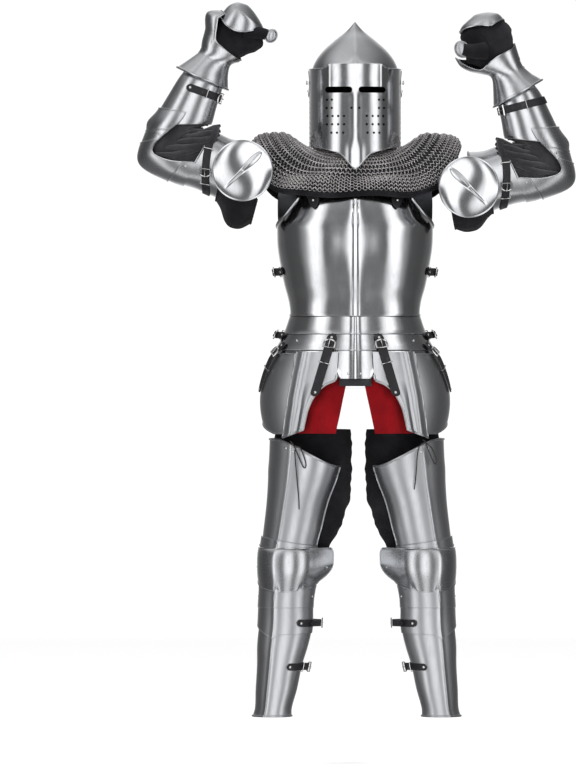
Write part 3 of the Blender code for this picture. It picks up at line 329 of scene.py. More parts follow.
class Shape:
    """Surfaces gathered into one piece."""

    def __init__(self):
        self.points, self.faces, self.finishes, self.total = [], [], [], 0

    def put(self, points, faces, finish=0):
        points = np.asarray(points, float).reshape(-1, 3)
        self.points.append(points)
        self.faces += [tuple(k + self.total for k in face) for face in faces]
        self.finishes += finish if isinstance(finish, list) else [finish] * len(faces)
        self.total += len(points)

    def sheet(self, rows, cores, thickness=PLATE, closed=False, capped=False, finish=0,
              inside=None):
        """A wall whose outer face runs through a grid of points; inside is its inner finish."""
        rows = np.asarray(rows, float)
        walls = [rows, rows - normals_of(rows, cores, closed) * thickness]
        if capped:
            walls = [np.concatenate((np.broadcast_to(wall[0].mean(0), wall[:1].shape), wall))
                     for wall in walls]
        count, width = walls[0].shape[:2]
        lift, faces = count * width, []
        for a, b, c, d in grid(count, width, closed):
            faces += [(a, b, c, d), (b + lift, a + lift, d + lift, c + lift)]
        paint = [finish, finish if inside is None else inside] * (len(faces) // 2)
        edges = [range(lift - width, lift)] if capped else [range(width), range(lift - width, lift)]
        if closed:
            edges = [(*edge, edge[0]) for edge in edges]
        else:
            edges += [range(lift - width, -1, -width), range(lift - 1, -1, -width)]
        rim = [(b, a, a + lift, b + lift) for edge in edges for a, b in zip(edge, edge[1:])]
        self.put(walls, faces + rim, paint + [finish] * len(rim))

    def tube(self, path, radius, closed=False, sides=8, finish=0, flat=1.0, out=None):
        """A round bar along a path; flat below 1 presses it along its outward vectors."""
        path = np.asarray(path, float)
        count = len(path)
        if closed:
            tangent = unit(np.roll(path, -1, 0) - np.roll(path, 1, 0))
        else:
            tangent = unit(np.gradient(path, axis=0))
        if out is None:
            out = path - path.mean(0)
        out = unit(out - tangent * np.sum(out * tangent, axis=1, keepdims=True))
        across = np.cross(tangent, out)
        radius = np.broadcast_to(np.asarray(radius, float), (count,))[:, None, None]
        turn = np.arange(sides) * 2 * math.pi / sides
        ring = (out[:, None, :] * np.cos(turn)[None, :, None] * flat
                + across[:, None, :] * np.sin(turn)[None, :, None]) * radius
        faces = grid(count, sides, True, closed) + ([] if closed else caps(count, sides))
        self.put(path[:, None, :] + ring, faces, finish)

    def strip(self, path, half, out, thickness, finish=0):
        """A strap: a path, its half-width vectors and its outward vectors, with eased edges."""
        path, half = np.asarray(path, float), np.asarray(half, float)
        out = unit(np.asarray(out, float))
        profile = ((-1.0, 0.0), (-1.0, 0.6), (-0.93, 0.92), (-0.80, 1.0), (0.80, 1.0),
                   (0.93, 0.92), (1.0, 0.6), (1.0, 0.0))
        ring = np.stack([path + half * a + out * thickness * b for a, b in profile], axis=1)
        self.put(ring, grid(*ring.shape[:2], True) + caps(*ring.shape[:2]), finish)

    def rivet(self, place, out, radius, height=None, finish=0):
        """A domed rivet head."""
        out = unit(np.asarray(out, float))
        first = unit(np.cross(out, UP if abs(out[2]) < 0.9 else RIGHTWARD))
        height, count = height or radius * 0.55, 12
        turn = np.arange(count) * 2 * math.pi / count
        circle = np.outer(np.cos(turn), first) + np.outer(np.sin(turn), np.cross(out, first))
        profile = ((1.0, -0.4), (1.0, 0.25), (0.80, 0.72), (0.42, 0.96), (0.0, 1.0))
        points = [place + out * height * rise + circle * radius * share for share, rise in profile]
        faces = grid(len(profile), count, True) + caps(len(profile), count)[:1]
        self.put(points, faces, finish)

    def buckle(self, place, along, out, width, finish=0):
        """A D-shaped strap buckle with its tongue; along is the strap's direction."""
        out = unit(np.asarray(out, float))
        along = unit(np.asarray(along, float) - out * np.dot(along, out))
        across = np.cross(out, along)
        place = np.asarray(place, float)
        bow = [(-0.62, -0.30), (-0.62, 0.10), (-0.55, 0.42), (-0.28, 0.58), (0.0, 0.62),
               (0.28, 0.58), (0.55, 0.42), (0.62, 0.10), (0.62, -0.30), (0.0, -0.34)]
        path = np.array([place + across * a * width + along * b * width for a, b in bow])
        self.tube(path, width * 0.085, closed=True, sides=7, finish=finish,
                  out=np.broadcast_to(out, path.shape))
        tongue = np.array([place + along * b * width + out * c * width
                           for b, c in ((-0.36, 0.10), (0.0, 0.15), (0.40, 0.14), (0.66, 0.09))])
        self.tube(tongue, width * 0.055, sides=6, finish=finish,
                  out=np.broadcast_to(out, tongue.shape))

    def keeper(self, place, along, out, width, finish=0, height=0.0035):
        """A wire keeper round a strap."""
        out = unit(np.asarray(out, float))
        along = unit(np.asarray(along, float) - out * np.dot(along, out))
        across = np.cross(out, along)
        place = np.asarray(place, float)
        bow = ((-0.56, -0.3), (-0.56, 0.7), (-0.46, 1.0), (0.46, 1.0), (0.56, 0.7), (0.56, -0.3))
        path = np.array([place + across * a * width + out * b * height for a, b in bow])
        self.tube(path, 0.0011, sides=6, finish=finish, out=np.broadcast_to(along, path.shape))

    def mesh(self, name, *finishes, sharp=34):
        """The gathered surfaces as one object, at the origin, in world places."""
        data = bpy.data.meshes.new(name)
        data.from_pydata(np.concatenate(self.points).tolist(), [], self.faces)
        for finish in finishes:
            data.materials.append(finish.material)
        data.polygons.foreach_set("material_index", self.finishes)

        shape = bmesh.new()
        shape.from_mesh(data)
        bmesh.ops.remove_doubles(shape, verts=shape.verts, dist=1e-6)
        bmesh.ops.recalc_face_normals(shape, faces=shape.faces)
        shape.to_mesh(data)
        shape.free()
        data.shade_smooth()
        data.set_sharp_from_angle(angle=math.radians(sharp))
        made = bpy.data.objects.new(name, data)
        bpy.context.scene.collection.objects.link(made)
        made.data.transform(Matrix.Translation((0, 0, -SHOULDER_HEIGHT)))
        return made


def dress(shape, name, finishes, nodes=(), body=SUIT, sharp=34):
    """Makes the piece, puts it on its body and hides the CAD nodes it stands for."""
    piece = shape.mesh(name, *finishes, sharp=sharp)
    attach(piece, body)
    if nodes:
        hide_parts(*nodes)
    return piece


# ================================================================ stage

VIEW_CENTRE = (-0.1715, 0.9766)    # the middle of the view: across, and above the soles
VIEW_HEIGHT = 1.979                # what the view takes in at the suit's distance
CAMERA_BACK, CAMERA_HEIGHT = 24.0, 1.22


def camera():
    data = bpy.data.cameras.new("camera")
    data.sensor_fit, data.sensor_height = "VERTICAL", 24
    data.lens = 24 * CAMERA_BACK / VIEW_HEIGHT
    made = bpy.data.objects.new("camera", data)
    bpy.context.scene.collection.objects.link(made)
    target = Vector((VIEW_CENTRE[0], 0, VIEW_CENTRE[1] - SHOULDER_HEIGHT))
    made.location = (VIEW_CENTRE[0], -CAMERA_BACK, CAMERA_HEIGHT - SHOULDER_HEIGHT)
    made.rotation_euler = (target - made.location).to_track_quat("-Z", "Y").to_euler()
    bpy.context.scene.camera = made
    bpy.context.scene.view_settings.view_transform = "Standard"


ROOM = (  # azimuth from the front in degrees, brightness of the room seen in the steel
    (0, 1.62), (11, 1.50), (20, 0.17), (33, 0.13), (42, 1.20), (49, 1.70), (57, 1.55), (67, 0.30),
    (79, 0.07), (110, 0.06), (130, 0.10), (150, 0.17), (161, 0.45), (170, 0.90), (180, 1.00))


def room():
    """White to the eye; the steel mirrors tall soft boxes, a dark floor line and a pale ceiling."""
    world = bpy.data.worlds.new("room")
    bpy.context.scene.world = world
    world.use_nodes = True
    tree = world.node_tree
    way = Value(tree, tree.nodes.new("ShaderNodeTexCoord").outputs["Generated"])
    x, y, z = way.axis("X"), way.axis("Y"), way.axis("Z")
    azimuth = x.math("ABSOLUTE").math("ARCTAN2", y * -1.0) * (1 / math.pi)
    ring = azimuth.node("ShaderNodeValToRGB", {"ramp": [(a / 180, (b / 2,) * 3) for a, b in ROOM]},
                        Fac=azimuth)
    ring.color_ramp.interpolation = "EASE"
    walls = Value(tree, ring.outputs[0]).axis("X") * 2.0
    above, below = z.step(0.46, 0.96), z.step(-0.85, -0.30)
    ceiling = above * (x * -0.42 + 0.50)
    seen = walls * (above * -0.80 + 1.0) * (below * 0.45 + 0.55) + ceiling + below * -0.10 + 0.12
    rays = tree.nodes.new("ShaderNodeLightPath").outputs
    direct, glossy = Value(tree, rays["Is Camera Ray"]), Value(tree, rays["Is Glossy Ray"])
    strength = direct * 1.06 + (1.0 - direct) * (glossy * seen + (1.0 - glossy) * 0.95)
    back = tree.nodes["Background"]
    back.inputs["Color"].default_value = (1, 1, 1, 1)
    tree.links.new(strength.socket, back.inputs["Strength"])


LAMPS = (  # name, place, target, size, power
    ("key", (-2.6, -3.4, 1.6), (0, 0, -0.4), (1.4, 2.4), 95),
    ("fill", (2.8, -3.0, 0.9), (0, 0, -0.5), (1.2, 2.4), 60),
    ("top", (0, -0.6, 2.6), (0, 0, -0.4), (2.6, 1.6), 55))


def lamp(name, place, target, size, power):
    data = bpy.data.lights.new(name, "AREA")
    data.shape, data.size, data.size_y, data.energy = "RECTANGLE", *size, power
    made = bpy.data.objects.new(name, data)
    bpy.context.scene.collection.objects.link(made)
    made.location = place
    made.rotation_euler = (Vector(target) - Vector(place)).to_track_quat("-Z", "Y").to_euler()
    made.visible_camera = made.visible_glossy = False


def floor():
    """A pale floor to every side; the steel doesn't mirror it."""
    shape, reach = Shape(), 9.0
    corners = ((-1, -1), (1, -1), (1, 1), (-1, 1))
    shape.put([(x * reach, y * reach, 0) for x, y in corners], [(0, 1, 2, 3)])
    pale = Finish("pale_floor", "floor")
    pale.set(Base_Color=(0.93, 0.93, 0.93), Roughness=0.75, Emission_Color=(1.0, 1.0, 1.0),
             Emission_Strength=0.10)
    made = shape.mesh("floor", pale)
    made.visible_glossy = False


camera()
room()
for row in LAMPS:
    lamp(*row)
floor()


# ================================================================ helmet

SKULL = Track((  # height, half_width, front, back, shift_back
    (1.9102, 0.0010, 0.0010, 0.0010, 0.0300),
    (1.9010, 0.0085, 0.0090, 0.0100, 0.0292),
    (1.8890, 0.0200, 0.0210, 0.0230, 0.0280),
    (1.8640, 0.0510, 0.0570, 0.0570, 0.0220),
    (1.8380, 0.0800, 0.0870, 0.0890, 0.0160),
    (1.8120, 0.1000, 0.1070, 0.1130, 0.0100),
    (1.7850, 0.1105, 0.1190, 0.1275, 0.0040),
    (1.7350, 0.1135, 0.1230, 0.1360, 0.0000),
    (1.6600, 0.1130, 0.1210, 0.1300, 0.0000),
    (1.5900, 0.1120, 0.1160, 0.1180, 0.0000)))
FACE_HALF, FACE_TOP = 0.088, 1.785
VISOR_TOP = (1.8005, 1.7885)     # its top edge in front and at the sides
VISOR_SIDE_FOOT, VISOR_CHIN, VISOR_FOOT = 1.590, 1.532, 1.566
HINGE_HEIGHT, HINGE_BACK = 1.754, -0.004
PIN_RADIUS, HINGE_BORE = 0.0040, 0.0046
VISOR_HALF, VISOR_REACH = 0.1175, 0.1540
VISOR_RIDGE, VISOR_BULGE_TOP, VISOR_END = 0.0042, 1.618, 88
SLOT_AT, SLOT_HALF = (0.0425, 1.7335), (0.0345, 0.0078)
BREATHS = (  # height, places across from the middle ridge; the same on both sides
    (1.7080, (0.060, 0.072)), (1.6870, (0.010, 0.060, 0.073)),
    (1.6665, (0.029, 0.044, 0.058, 0.071)), (1.6455, (0.029, 0.044, 0.059, 0.072)),
    (1.6240, (0.031, 0.047, 0.061)))
BREATH_RADIUS = 0.0030
LACING_PINS = (10, 0.030, 1.716, 0.0128)     # how many, the first one's place and the step down


def temple_fittings(shape, sign):
    """The lacing pins of the mail down one side of the skull, and the pin the visor turns on."""
    count, back, top, step = LACING_PINS
    for k in range(count):
        place = np.array((sign * (SKULL(1.66)[0] + 0.0008), -back - 0.0006 * k, top - step * k))
        shape.rivet(place, (sign, 0, 0), 0.0030, 0.0038, finish=1)
        post = place + (sign * 0.002, -0.004, -0.0064)
        shape.tube((place, post), 0.0009, sides=5, finish=1, out=np.tile(FRONT, (2, 1)))
    pin = np.array([(sign * across, HINGE_BACK, HINGE_HEIGHT) for across in (0.1112, 0.1232)])
    shape.tube(pin, PIN_RADIUS, sides=18, out=np.tile(UP, (2, 1)), finish=1)
    shape.rivet(pin[1], (sign, 0, 0), 0.0056, 0.0026, finish=1)


def helmet_skull():
    """The pointed skull, with its edge rolls, its temple pins and the lacing pins of the mail."""
    shape = Shape()
    heights = np.concatenate((np.linspace(1.9102, 1.885, 9), np.linspace(1.880, 1.590, 50)))
    turns = np.concatenate((np.linspace(-180, -62, 30), np.linspace(-60, 60, 51),
                            np.linspace(62, 180, 30)[:-1]))
    rows, cores = [], []
    for height in heights:
        half, front, back, shift = SKULL(height)
        ring = section((0, shift, height), RIGHTWARD, half, front, back, turns)
        crease = 0.0018 * smooth(half, 0.0, 0.05) * np.exp(-(turns / 10.0) ** 2)
        rows.append(ring + np.outer(crease, FRONT))
        cores.append((0, shift, height - 0.03))
    rows = np.array(rows)
    # the front is left open below the brow: the crown above it, then the sides and the back
    opening = np.argmax(heights < FACE_TOP)
    # the inner faces take the near-black painted shade
    shape.sheet(rows[:opening + 1], cores[:opening + 1], closed=True, capped=True, inside=2)
    cheek, middle = rows[opening + 15], len(turns) // 2
    first = middle + np.argmax(np.abs(cheek[middle:, 0]) >= FACE_HALF)
    sides = rows[opening:, [*range(first, len(turns)), *range(len(turns) - first)]]
    shape.sheet(sides, cores[opening:], inside=2)
    for edge in (sides[:, 0], sides[:, -1]):
        shape.tube(edge, 0.0026)
    shape.tube(sides[-1], 0.0024)
    for sign in (-1, 1):
        temple_fittings(shape, sign)
    dress(shape, "bascinet_skull", (STEEL_HELMET, TRIM, INSIDE_PAINTED_SHADE), ("helmet_skull",))


def visor_foot(across):
    near_chin = np.exp(-(across / 0.026) ** 2)
    slope = smooth(across, 0, 0.125) * 0.55 + np.clip(across / 0.113, 0, 1) * 0.45
    return blend(VISOR_FOOT, VISOR_SIDE_FOOT, slope) - near_chin * (VISOR_FOOT - VISOR_CHIN)


def visor_rows(turns, shares):
    """The visor's outer face: a rounded barrel with a fine nose ridge and a bulge at the chin."""
    rows = []
    for share in shares:
        points = section((0, 0, 0), RIGHTWARD, VISOR_HALF, VISOR_REACH, 0.01, turns, 2.25)
        across = np.abs(points[:, 0])
        top = blend(*VISOR_TOP, smooth(across, 0.060, 0.085))
        height = blend(top, visor_foot(across), share)
        below_slots = smooth(SLOT_AT[1] + 0.010 - height, 0, 0.030)
        chin = smooth(VISOR_BULGE_TOP - height, 0, 0.045)
        ridge = VISOR_RIDGE * np.exp(-(across / 0.0155) ** 2) * below_slots * (1 - chin)
        bulge = 0.0036 * np.exp(-(across / 0.0215) ** 4) * chin
        crease = 0.0012 * np.exp(-((across - 0.068) / 0.0022) ** 2) * (1 - below_slots)
        under_slots = np.exp(-((height - SLOT_AT[1] + 0.012) / 0.006) ** 2)
        hollow = -0.0016 * under_slots * smooth(0.085 - across, 0, 0.02)
        points[:, 1] -= ridge + bulge + crease + hollow
        lean = 0.011 * np.maximum(height - HINGE_HEIGHT, 0) / 0.05
        jaw = 0.012 * np.maximum(HINGE_HEIGHT - height, 0) / 0.22
        points[:, 1] *= 1 - (lean + jaw) / VISOR_REACH
        points[:, 2] = height
        rows.append(points)
    return np.array(rows)


def cut(piece, cutter):
    """Takes a shape out of a piece and leaves plain mesh behind."""
    tool = cutter.mesh("cutting_tool")
    change = piece.modifiers.new("cut", "BOOLEAN")
    change.operation, change.solver, change.object = "DIFFERENCE", "EXACT", tool
    view = bpy.context.evaluated_depsgraph_get()
    view.update()
    data = bpy.data.meshes.new_from_object(piece.evaluated_get(view))
    piece.modifiers.clear()
    piece.data = data
    bpy.data.objects.remove(tool, do_unlink=True)


def bar(shape, start, end, radius):
    """A plain level rod for cutting holes."""
    shape.tube(np.array((start, end), float), radius, sides=14, out=np.tile(UP, (2, 1)))


def slot_cutter(shape, sign):
    """A bar with round ends that cuts one eye slot."""
    (across, height), (half, radius) = SLOT_AT, SLOT_HALF
    outline = []
    for way, angles in ((-1, np.linspace(90, 270, 10)), (1, np.linspace(-90, 90, 10))):
        turn = np.radians(angles)
        middle = sign * across + way * (half - radius)
        outline += zip(middle + radius * np.cos(turn), height + radius * np.sin(turn))
    points, count = [(x, y, z) for y in (-0.20, -0.09) for x, z in outline], len(outline)
    shape.put(points, grid(2, count, True) + caps(2, count))


def hinge_plate(shape, sign):
    """The pear-shaped plate round one temple pin, with its two small rivets."""
    turn = np.arange(28) * math.pi / 14
    far_side = np.where(np.cos(turn) > 0, 1, 1.5)
    outline = np.stack((HINGE_BACK + 0.0150 * np.cos(turn) * far_side,
                        HINGE_HEIGHT - 0.003 + 0.0340 * np.sin(turn)), -1)
    hole = np.stack((HINGE_BACK + 0.0048 * np.cos(turn), HINGE_HEIGHT + 0.0048 * np.sin(turn)), -1)
    near, far = sign * (VISOR_HALF + 0.0004), sign * (VISOR_HALF + 0.0026)
    rings = ((near, outline), (far, outline), (far, hole), (near, hole))
    shape.put([(x, y, z) for x, ring in rings for y, z in ring],
              grid(len(rings), len(turn), True, True))
    for y, z in ((-0.012, 1.732), (-0.026, 1.752)):
        shape.rivet((far, y, z), (sign, 0, 0), 0.0032, finish=1)


def visor():
    """The visor with its eye slots and breath holes, its edge rolls and its hinge plates."""
    shape = Shape()
    turns = np.concatenate((np.linspace(-VISOR_END, -8, 57), np.linspace(-7, 7, 19),
                            np.linspace(8, VISOR_END, 57)))
    shares = np.linspace(0, 1, 62)
    cores = [(0, 0, blend(1.80, 1.60, share)) for share in shares]
    # the inner faces take the near-black painted shade
    shape.sheet(visor_rows(turns, shares), cores, inside=1)
    piece = shape.mesh("visor_plate", STEEL_HELMET, INSIDE_PAINTED_SHADE)
    slots, holes = Shape(), Shape()
    for sign in (-1, 1):
        slot_cutter(slots, sign)
        for height, places in BREATHS:
            for across in places:
                bar(holes, (sign * across, -0.20, height), (sign * across, -0.04, height),
                    BREATH_RADIUS)
        bar(holes, (sign * 0.09, HINGE_BACK, HINGE_HEIGHT), (sign * 0.14, HINGE_BACK, HINGE_HEIGHT),
            HINGE_BORE)
    cut(piece, slots)
    cut(piece, holes)
    piece.data.shade_smooth()
    piece.data.set_sharp_from_angle(angle=math.radians(30))
    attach(piece, VISOR_BODY)
    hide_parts("visor")
    trim, rim = Shape(), Shape()
    for sign in (-1, 1):
        hinge_plate(trim, sign)
    dress(trim, "visor_hinge_plates", (STEEL_HELMET, TRIM), body=VISOR_BODY)
    top, foot = visor_rows(turns, (0.0, 1.0))
    rim.tube(foot + (0, 0.0009, 0.0012), 0.0021)
    rim.tube(top + (0, 0.0009, -0.0012), 0.0019)
    dress(rim, "visor_edge_rolls", (STEEL_HELMET,), body=VISOR_BODY)


helmet_skull()
visor()


# ================================================================ mail collar

COLLAR = Track((  # ring: half_width, front, back, side_height, front_height, back_height, lift
    (0.098, 0.088, 0.098, 1.602, 1.604, 1.600, 2),
    (0.114, 0.103, 0.117, 1.580, 1.574, 1.574, 2),
    (0.146, 0.122, 0.140, 1.606, 1.560, 1.570, 3),
    (0.186, 0.136, 0.152, 1.626, 1.542, 1.552, 4),
    (0.238, 0.150, 0.162, 1.622, 1.516, 1.525, 5),
    (0.262, 0.159, 0.166, 1.608, 1.500, 1.500, 6),
    (0.270, 0.162, 0.168, 1.588, 1.480, 1.462, 7)), keyed=False)
MAIL_SINK = 0.0016      # how far the cloth under the rings lies below the mail's outer face
RING_ROWS, RINGS_ROUND = 28, 132
RING_RADIUS, RING_WIRE = 0.0054, 0.0010
MAIL_PARTS = (  # label, from and to in degrees, a ring's sides and its wire's; fewer behind
    ("front", -90, 90, (8, 4)), ("back_left", 90, 181, (7, 3)), ("back_right", -181, -90, (7, 3)))
EDGING_DROP = (0.012, -0.016)      # its top and foot beside the hem


def collar_point(row, turns, inset=0.0, drop=0.0):
    """Points of the collar at a ring row (0 neck to 6 hem), with its soft hanging folds."""
    half, front, back, side_high, front_high, back_high, lift = COLLAR(row)
    ring = section((0, 0, 0), RIGHTWARD, half - inset, front - inset, back - inset, turns, 2.2)
    sideways = np.minimum(np.abs(ring[:, 0]) / half, 1) ** lift
    low = np.where(ring[:, 1] < 0, front_high, back_high)
    easing = smooth(np.abs(ring[:, 1]), 0.0, 0.03)
    low = blend((front_high + back_high) / 2, low, easing)
    fold = 0.0042 * np.sin(np.radians(turns) * 9 + row * 1.1) * smooth(row, 2.0, 5.0)
    ring[:, 2] = blend(low, side_high, sideways) + drop + fold * 0.7
    outward = unit(ring * np.array((1, 1, 0)))
    return ring + outward * fold[:, None] * 0.4


def mail_rings(first, last):
    """Rings on every crossing of a slanted grid, each leaning into the next row."""
    rows = np.linspace(0.4, 5.96, RING_ROWS)
    points, ups, outs, sizes = [], [], [], []
    for k, row in enumerate(rows):
        turns = (np.arange(RINGS_ROUND) + 0.5 * (k % 2)) * 360 / RINGS_ROUND - 180
        here = collar_point(row, turns)
        below = collar_point(row + 0.05, turns)
        beside = collar_point(row, turns + 0.4)
        down, along = unit(below - here), unit(beside - here)
        out = unit(np.cross(down, along))
        out *= np.sign(out[:, 2:3] + 0.35 * np.sum(out * unit(here * (1, 1, 0)), 1)[:, None])
        chosen = (turns >= first) & (turns < last)
        gap = np.linalg.norm(collar_point(row, turns + 360 / RINGS_ROUND) - here, axis=1)
        points.append((here - out * MAIL_SINK * 0.6)[chosen])
        lean = unit(out + down * (0.42 if k % 2 else -0.42) + along * 0.30)
        outs.append(lean[chosen])
        ups.append(unit(down - lean * np.sum(down * lean, 1)[:, None])[chosen])
        sizes.append(np.clip(gap * 0.64, 0.0042, RING_RADIUS)[chosen])
    return tuple(np.concatenate(part) for part in (points, ups, outs, sizes))


def frames_to_euler(ups, outs):
    """Rotations whose Z runs along outs and whose X runs along ups."""
    sides = np.cross(outs, ups)
    return np.array([tuple(Matrix(axes).transposed().to_euler())
                     for axes in zip(ups, sides, outs)])


def wire_ring(thickness, sides, wire_sides):
    """A ring of radius 1 in its own flat; the wire's thickness is a share of that radius."""
    ring, wire = (thickness.value("GeometryNodeCurvePrimitiveCircle", Resolution=count,
                                  Radius=radius)
                  for count, radius in ((sides, 1.0), (wire_sides, thickness)))
    return ring.value("GeometryNodeCurveToMesh", Curve=ring, Profile_Curve=wire)


def ring_tree(name, sides):
    """Nodes that put a wire ring on every place; gives back the tree and its inputs' keys."""
    tree, keys = bpy.data.node_groups.new(name, "GeometryNodeTree"), {}
    for key, kind in (("Places", "Geometry"), ("Finish", "Material"), ("Scale", "Float"),
                      ("Wire", "Float")):
        socket = tree.interface.new_socket(key, in_out="INPUT", socket_type="NodeSocket" + kind)
        keys[key] = socket.identifier
    tree.interface.new_socket("Shape", in_out="OUTPUT", socket_type="NodeSocketGeometry")
    given = tree.nodes.new("NodeGroupInput").outputs
    places, finish, scale, wire = (Value(tree, given[key]) for key in keys)
    turn, size = (places.value("GeometryNodeInputNamedAttribute", 0, {"data_type": kind}, Name=key)
                  for key, kind in (("turned", "FLOAT_VECTOR"), ("size", "FLOAT")))
    made = places.value("GeometryNodeInstanceOnPoints", Instance=wire_ring(wire, *sides),
                        Points=places.value("GeometryNodeMeshToPoints", Mesh=places),
                        Rotation=turn.value("FunctionNodeEulerToRotation", n0=turn),
                        Scale=size * scale)
    for kind in ("RealizeInstances", "SetShadeSmooth"):
        made = made.value("GeometryNode" + kind, Geometry=made)
    made = made.value("GeometryNodeSetMaterial", Geometry=made, Material=finish)
    tree.links.new(made.socket, tree.nodes.new("NodeGroupOutput").inputs["Shape"])
    return tree, keys


def scatter(name, finish, places, turned, sizes, sides):
    """A wire ring on every place, turned and sized, all as one plain mesh."""
    data = bpy.data.meshes.new(name + "_places")
    data.from_pydata(places.tolist(), [], [])
    for key, kind, part, values in (("turned", "FLOAT_VECTOR", "vector", turned),
                                    ("size", "FLOAT", "value", sizes)):
        data.attributes.new(key, kind, "POINT").data.foreach_set(part, values.ravel())
    holder = bpy.data.objects.new(name, data)
    bpy.context.scene.collection.objects.link(holder)
    change = holder.modifiers.new(name, "NODES")
    change.node_group, keys = ring_tree(name, sides)
    change[keys["Finish"]] = finish.material
    change[keys["Scale"]], change[keys["Wire"]] = 1.0, RING_WIRE / RING_RADIUS
    view = bpy.context.evaluated_depsgraph_get()
    view.update()
    rings = bpy.data.meshes.new_from_object(holder.evaluated_get(view))
    holder.modifiers.clear()
    holder.data = rings
    holder.data.transform(Matrix.Translation((0, 0, -SHOULDER_HEIGHT)))
    return holder


def mail_collar():
    """The mail over its cloth, and the cloth edging along its hem."""
    turns = np.linspace(-180, 180, 109)[:-1]
    levels = np.linspace(0, 5.97, 30)
    mantle, edge = Shape(), Shape()
    mantle.sheet([collar_point(row, turns, drop=-MAIL_SINK) for row in levels],
                 [(0, 0, 1.56 if row < 1 else 1.40) for row in levels], 0.0014, closed=True)
    dress(mantle, "mail_under_cloth", (BLACK,), ("mail_collar",))
    for label, first, last, sides in MAIL_PARTS:
        places, ups, outs, sizes = mail_rings(first, last)
        rings = scatter("mail_" + label, RINGS, places, frames_to_euler(ups, outs), sizes, sides)
        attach(rings, SUIT)
    rows = []
    for share in np.linspace(0, 1, 9):
        puff = 0.0016 * math.sin(math.pi * share)
        rows.append(collar_point(6, turns, MAIL + 0.0045 + share * 0.001 - puff,
                                 blend(*EDGING_DROP, share)))
    edge.sheet(rows, [(0, 0, 1.50)] * 9, CLOTH, closed=True)
    edge.tube(rows[-1] * (0.994, 0.994, 1), 0.0032, closed=True)
    piece = dress(edge, "collar_cloth_edging", (BLACK,), ("collar_edging",), sharp=60)


mail_collar()


# ================================================================ breast and back

TORSO = Track((  # height, half_width, front, back
    (1.500, 0.150, 0.122, 0.118),
    (1.465, 0.160, 0.134, 0.124),
    (1.420, 0.182, 0.148, 0.128),
    (1.385, 0.200, 0.156, 0.128),
    (1.340, 0.199, 0.162, 0.126),
    (1.290, 0.192, 0.160, 0.120),
    (1.235, 0.181, 0.146, 0.112),
    (1.190, 0.169, 0.130, 0.106),
    (1.158, 0.165, 0.124, 0.104)))
TORSO_TOP, TORSO_FOOT = 1.500, 1.158
BREAST_END, ARMHOLE_END, BACK_OVERLAP = 96, 62, 4      # degrees from the front
KEEL, ARMHOLE_FOOT = 0.006, 1.383
SIDE_PLATE = Track((  # height, outer edge of the plates beside the armholes: across and back
    (1.492, 0.1950, -0.030), (1.440, 0.1980, -0.026), (1.405, 0.1975, -0.014),
    (1.376, 0.1945, -0.002)))


def breast_end(height):
    return blend(BREAST_END, ARMHOLE_END, np.clip((height - 1.385) / 0.07, 0, 1) ** 0.6)


def on_axis(heights):
    return [(0, 0, height) for height in heights]


def torso_point(height, turns, lift=0.0):
    half, front, back = TORSO(height) + lift
    return section((0, 0, height), RIGHTWARD, half, front, back, turns, 2.25)


def breastplate():
    """The breast with its narrow centre ridge and its armhole rolls."""
    shape = Shape()
    heights = np.linspace(TORSO_TOP, TORSO_FOOT, 60)
    shares = np.concatenate((np.linspace(-1, -0.12, 40), np.linspace(-0.11, 0.11, 31),
                             np.linspace(0.12, 1, 40)))
    rows = []
    for height in heights:
        turns = shares * breast_end(height)
        row = torso_point(height, turns)
        across = np.abs(row[:, 0])
        # the narrow bar down the middle stands between two fine lines
        row[:, 1] -= KEEL * np.exp(-(turns / 9.0) ** 2)
        row[:, 1] -= 0.0026 * smooth(0.0052 - across, 0, 0.0012)
        row[:, 1] += 0.0016 * np.exp(-((across - 0.0062) / 0.0012) ** 2)
        # the chest swells on each side of the middle, and the waist is flared
        swell = np.exp(-((across - 0.075) / 0.045) ** 2) * np.exp(-((height - 1.345) / 0.06) ** 2)
        row[:, 1] -= 0.0042 * swell
        row[:, 0:2] *= 1 + 0.030 * smooth(1.166 - height, 0, 0.010)
        rows.append(row)
    rows = np.array(rows)
    shape.sheet(rows, on_axis(heights))
    for side in (0, -1):
        shape.tube(rows[heights > ARMHOLE_FOOT, side], 0.0040, sides=12)
    dress(shape, "breastplate_shell", (STEEL, TRIM), ("breastplate",))


def side_plates():
    """Plates that close the space between the armhole rolls and the arms, darkened with painted
    shade for the shadow under the arms.
    """
    shape = Shape()
    for sign in (-1, 1):
        panel = []
        for level in np.linspace(1.492, 1.376, 22):
            near = torso_point(level, [sign * (breast_end(level) - 5)], -0.0060)[0]
            across, back = SIDE_PLATE(level)
            far = np.array((sign * max(across, abs(near[0])), back, level))
            panel.append(blend(near, far, np.linspace(0, 1, 12)[:, None]))
        shape.sheet(panel, [(0, 0.05, 1.44)] * len(panel), 0.0014)
    dress(shape, "breastplate_side_plates", (STEEL_PAINTED_SHADE,))


def tucked(row, turns):
    """How far the back's side edges are set in, to lie under the front's."""
    return unit(row * (1, 1, 0)) * (0.0034 * smooth(np.abs(turns - 180), 76, 82))[:, None]


def backplate():
    """The back with its hollow spine and its shoulder blades."""
    shape = Shape()
    heights = np.linspace(TORSO_TOP, TORSO_FOOT, 46)
    start = BREAST_END - BACK_OVERLAP
    turns = np.linspace(start, 360 - start, 73)
    rows = []
    for height in heights:
        row = torso_point(height, turns)
        row -= tucked(row, turns)
        row[:, 1] -= 0.006 * np.exp(-((turns - 180) / 7) ** 2) * smooth(height, 1.20, 1.30)
        blade = np.exp(-((np.abs(row[:, 0]) - 0.075) / 0.04) ** 2)
        row[:, 1] += 0.004 * blade * np.exp(-((height - 1.41) / 0.05) ** 2)
        rows.append(row)
    shape.sheet(rows, on_axis(heights))
    shape.tube(rows[0], 0.0030)
    shape.tube(rows[-1], 0.0026)
    dress(shape, "backplate_shell", (STEEL,), ("backplate",))


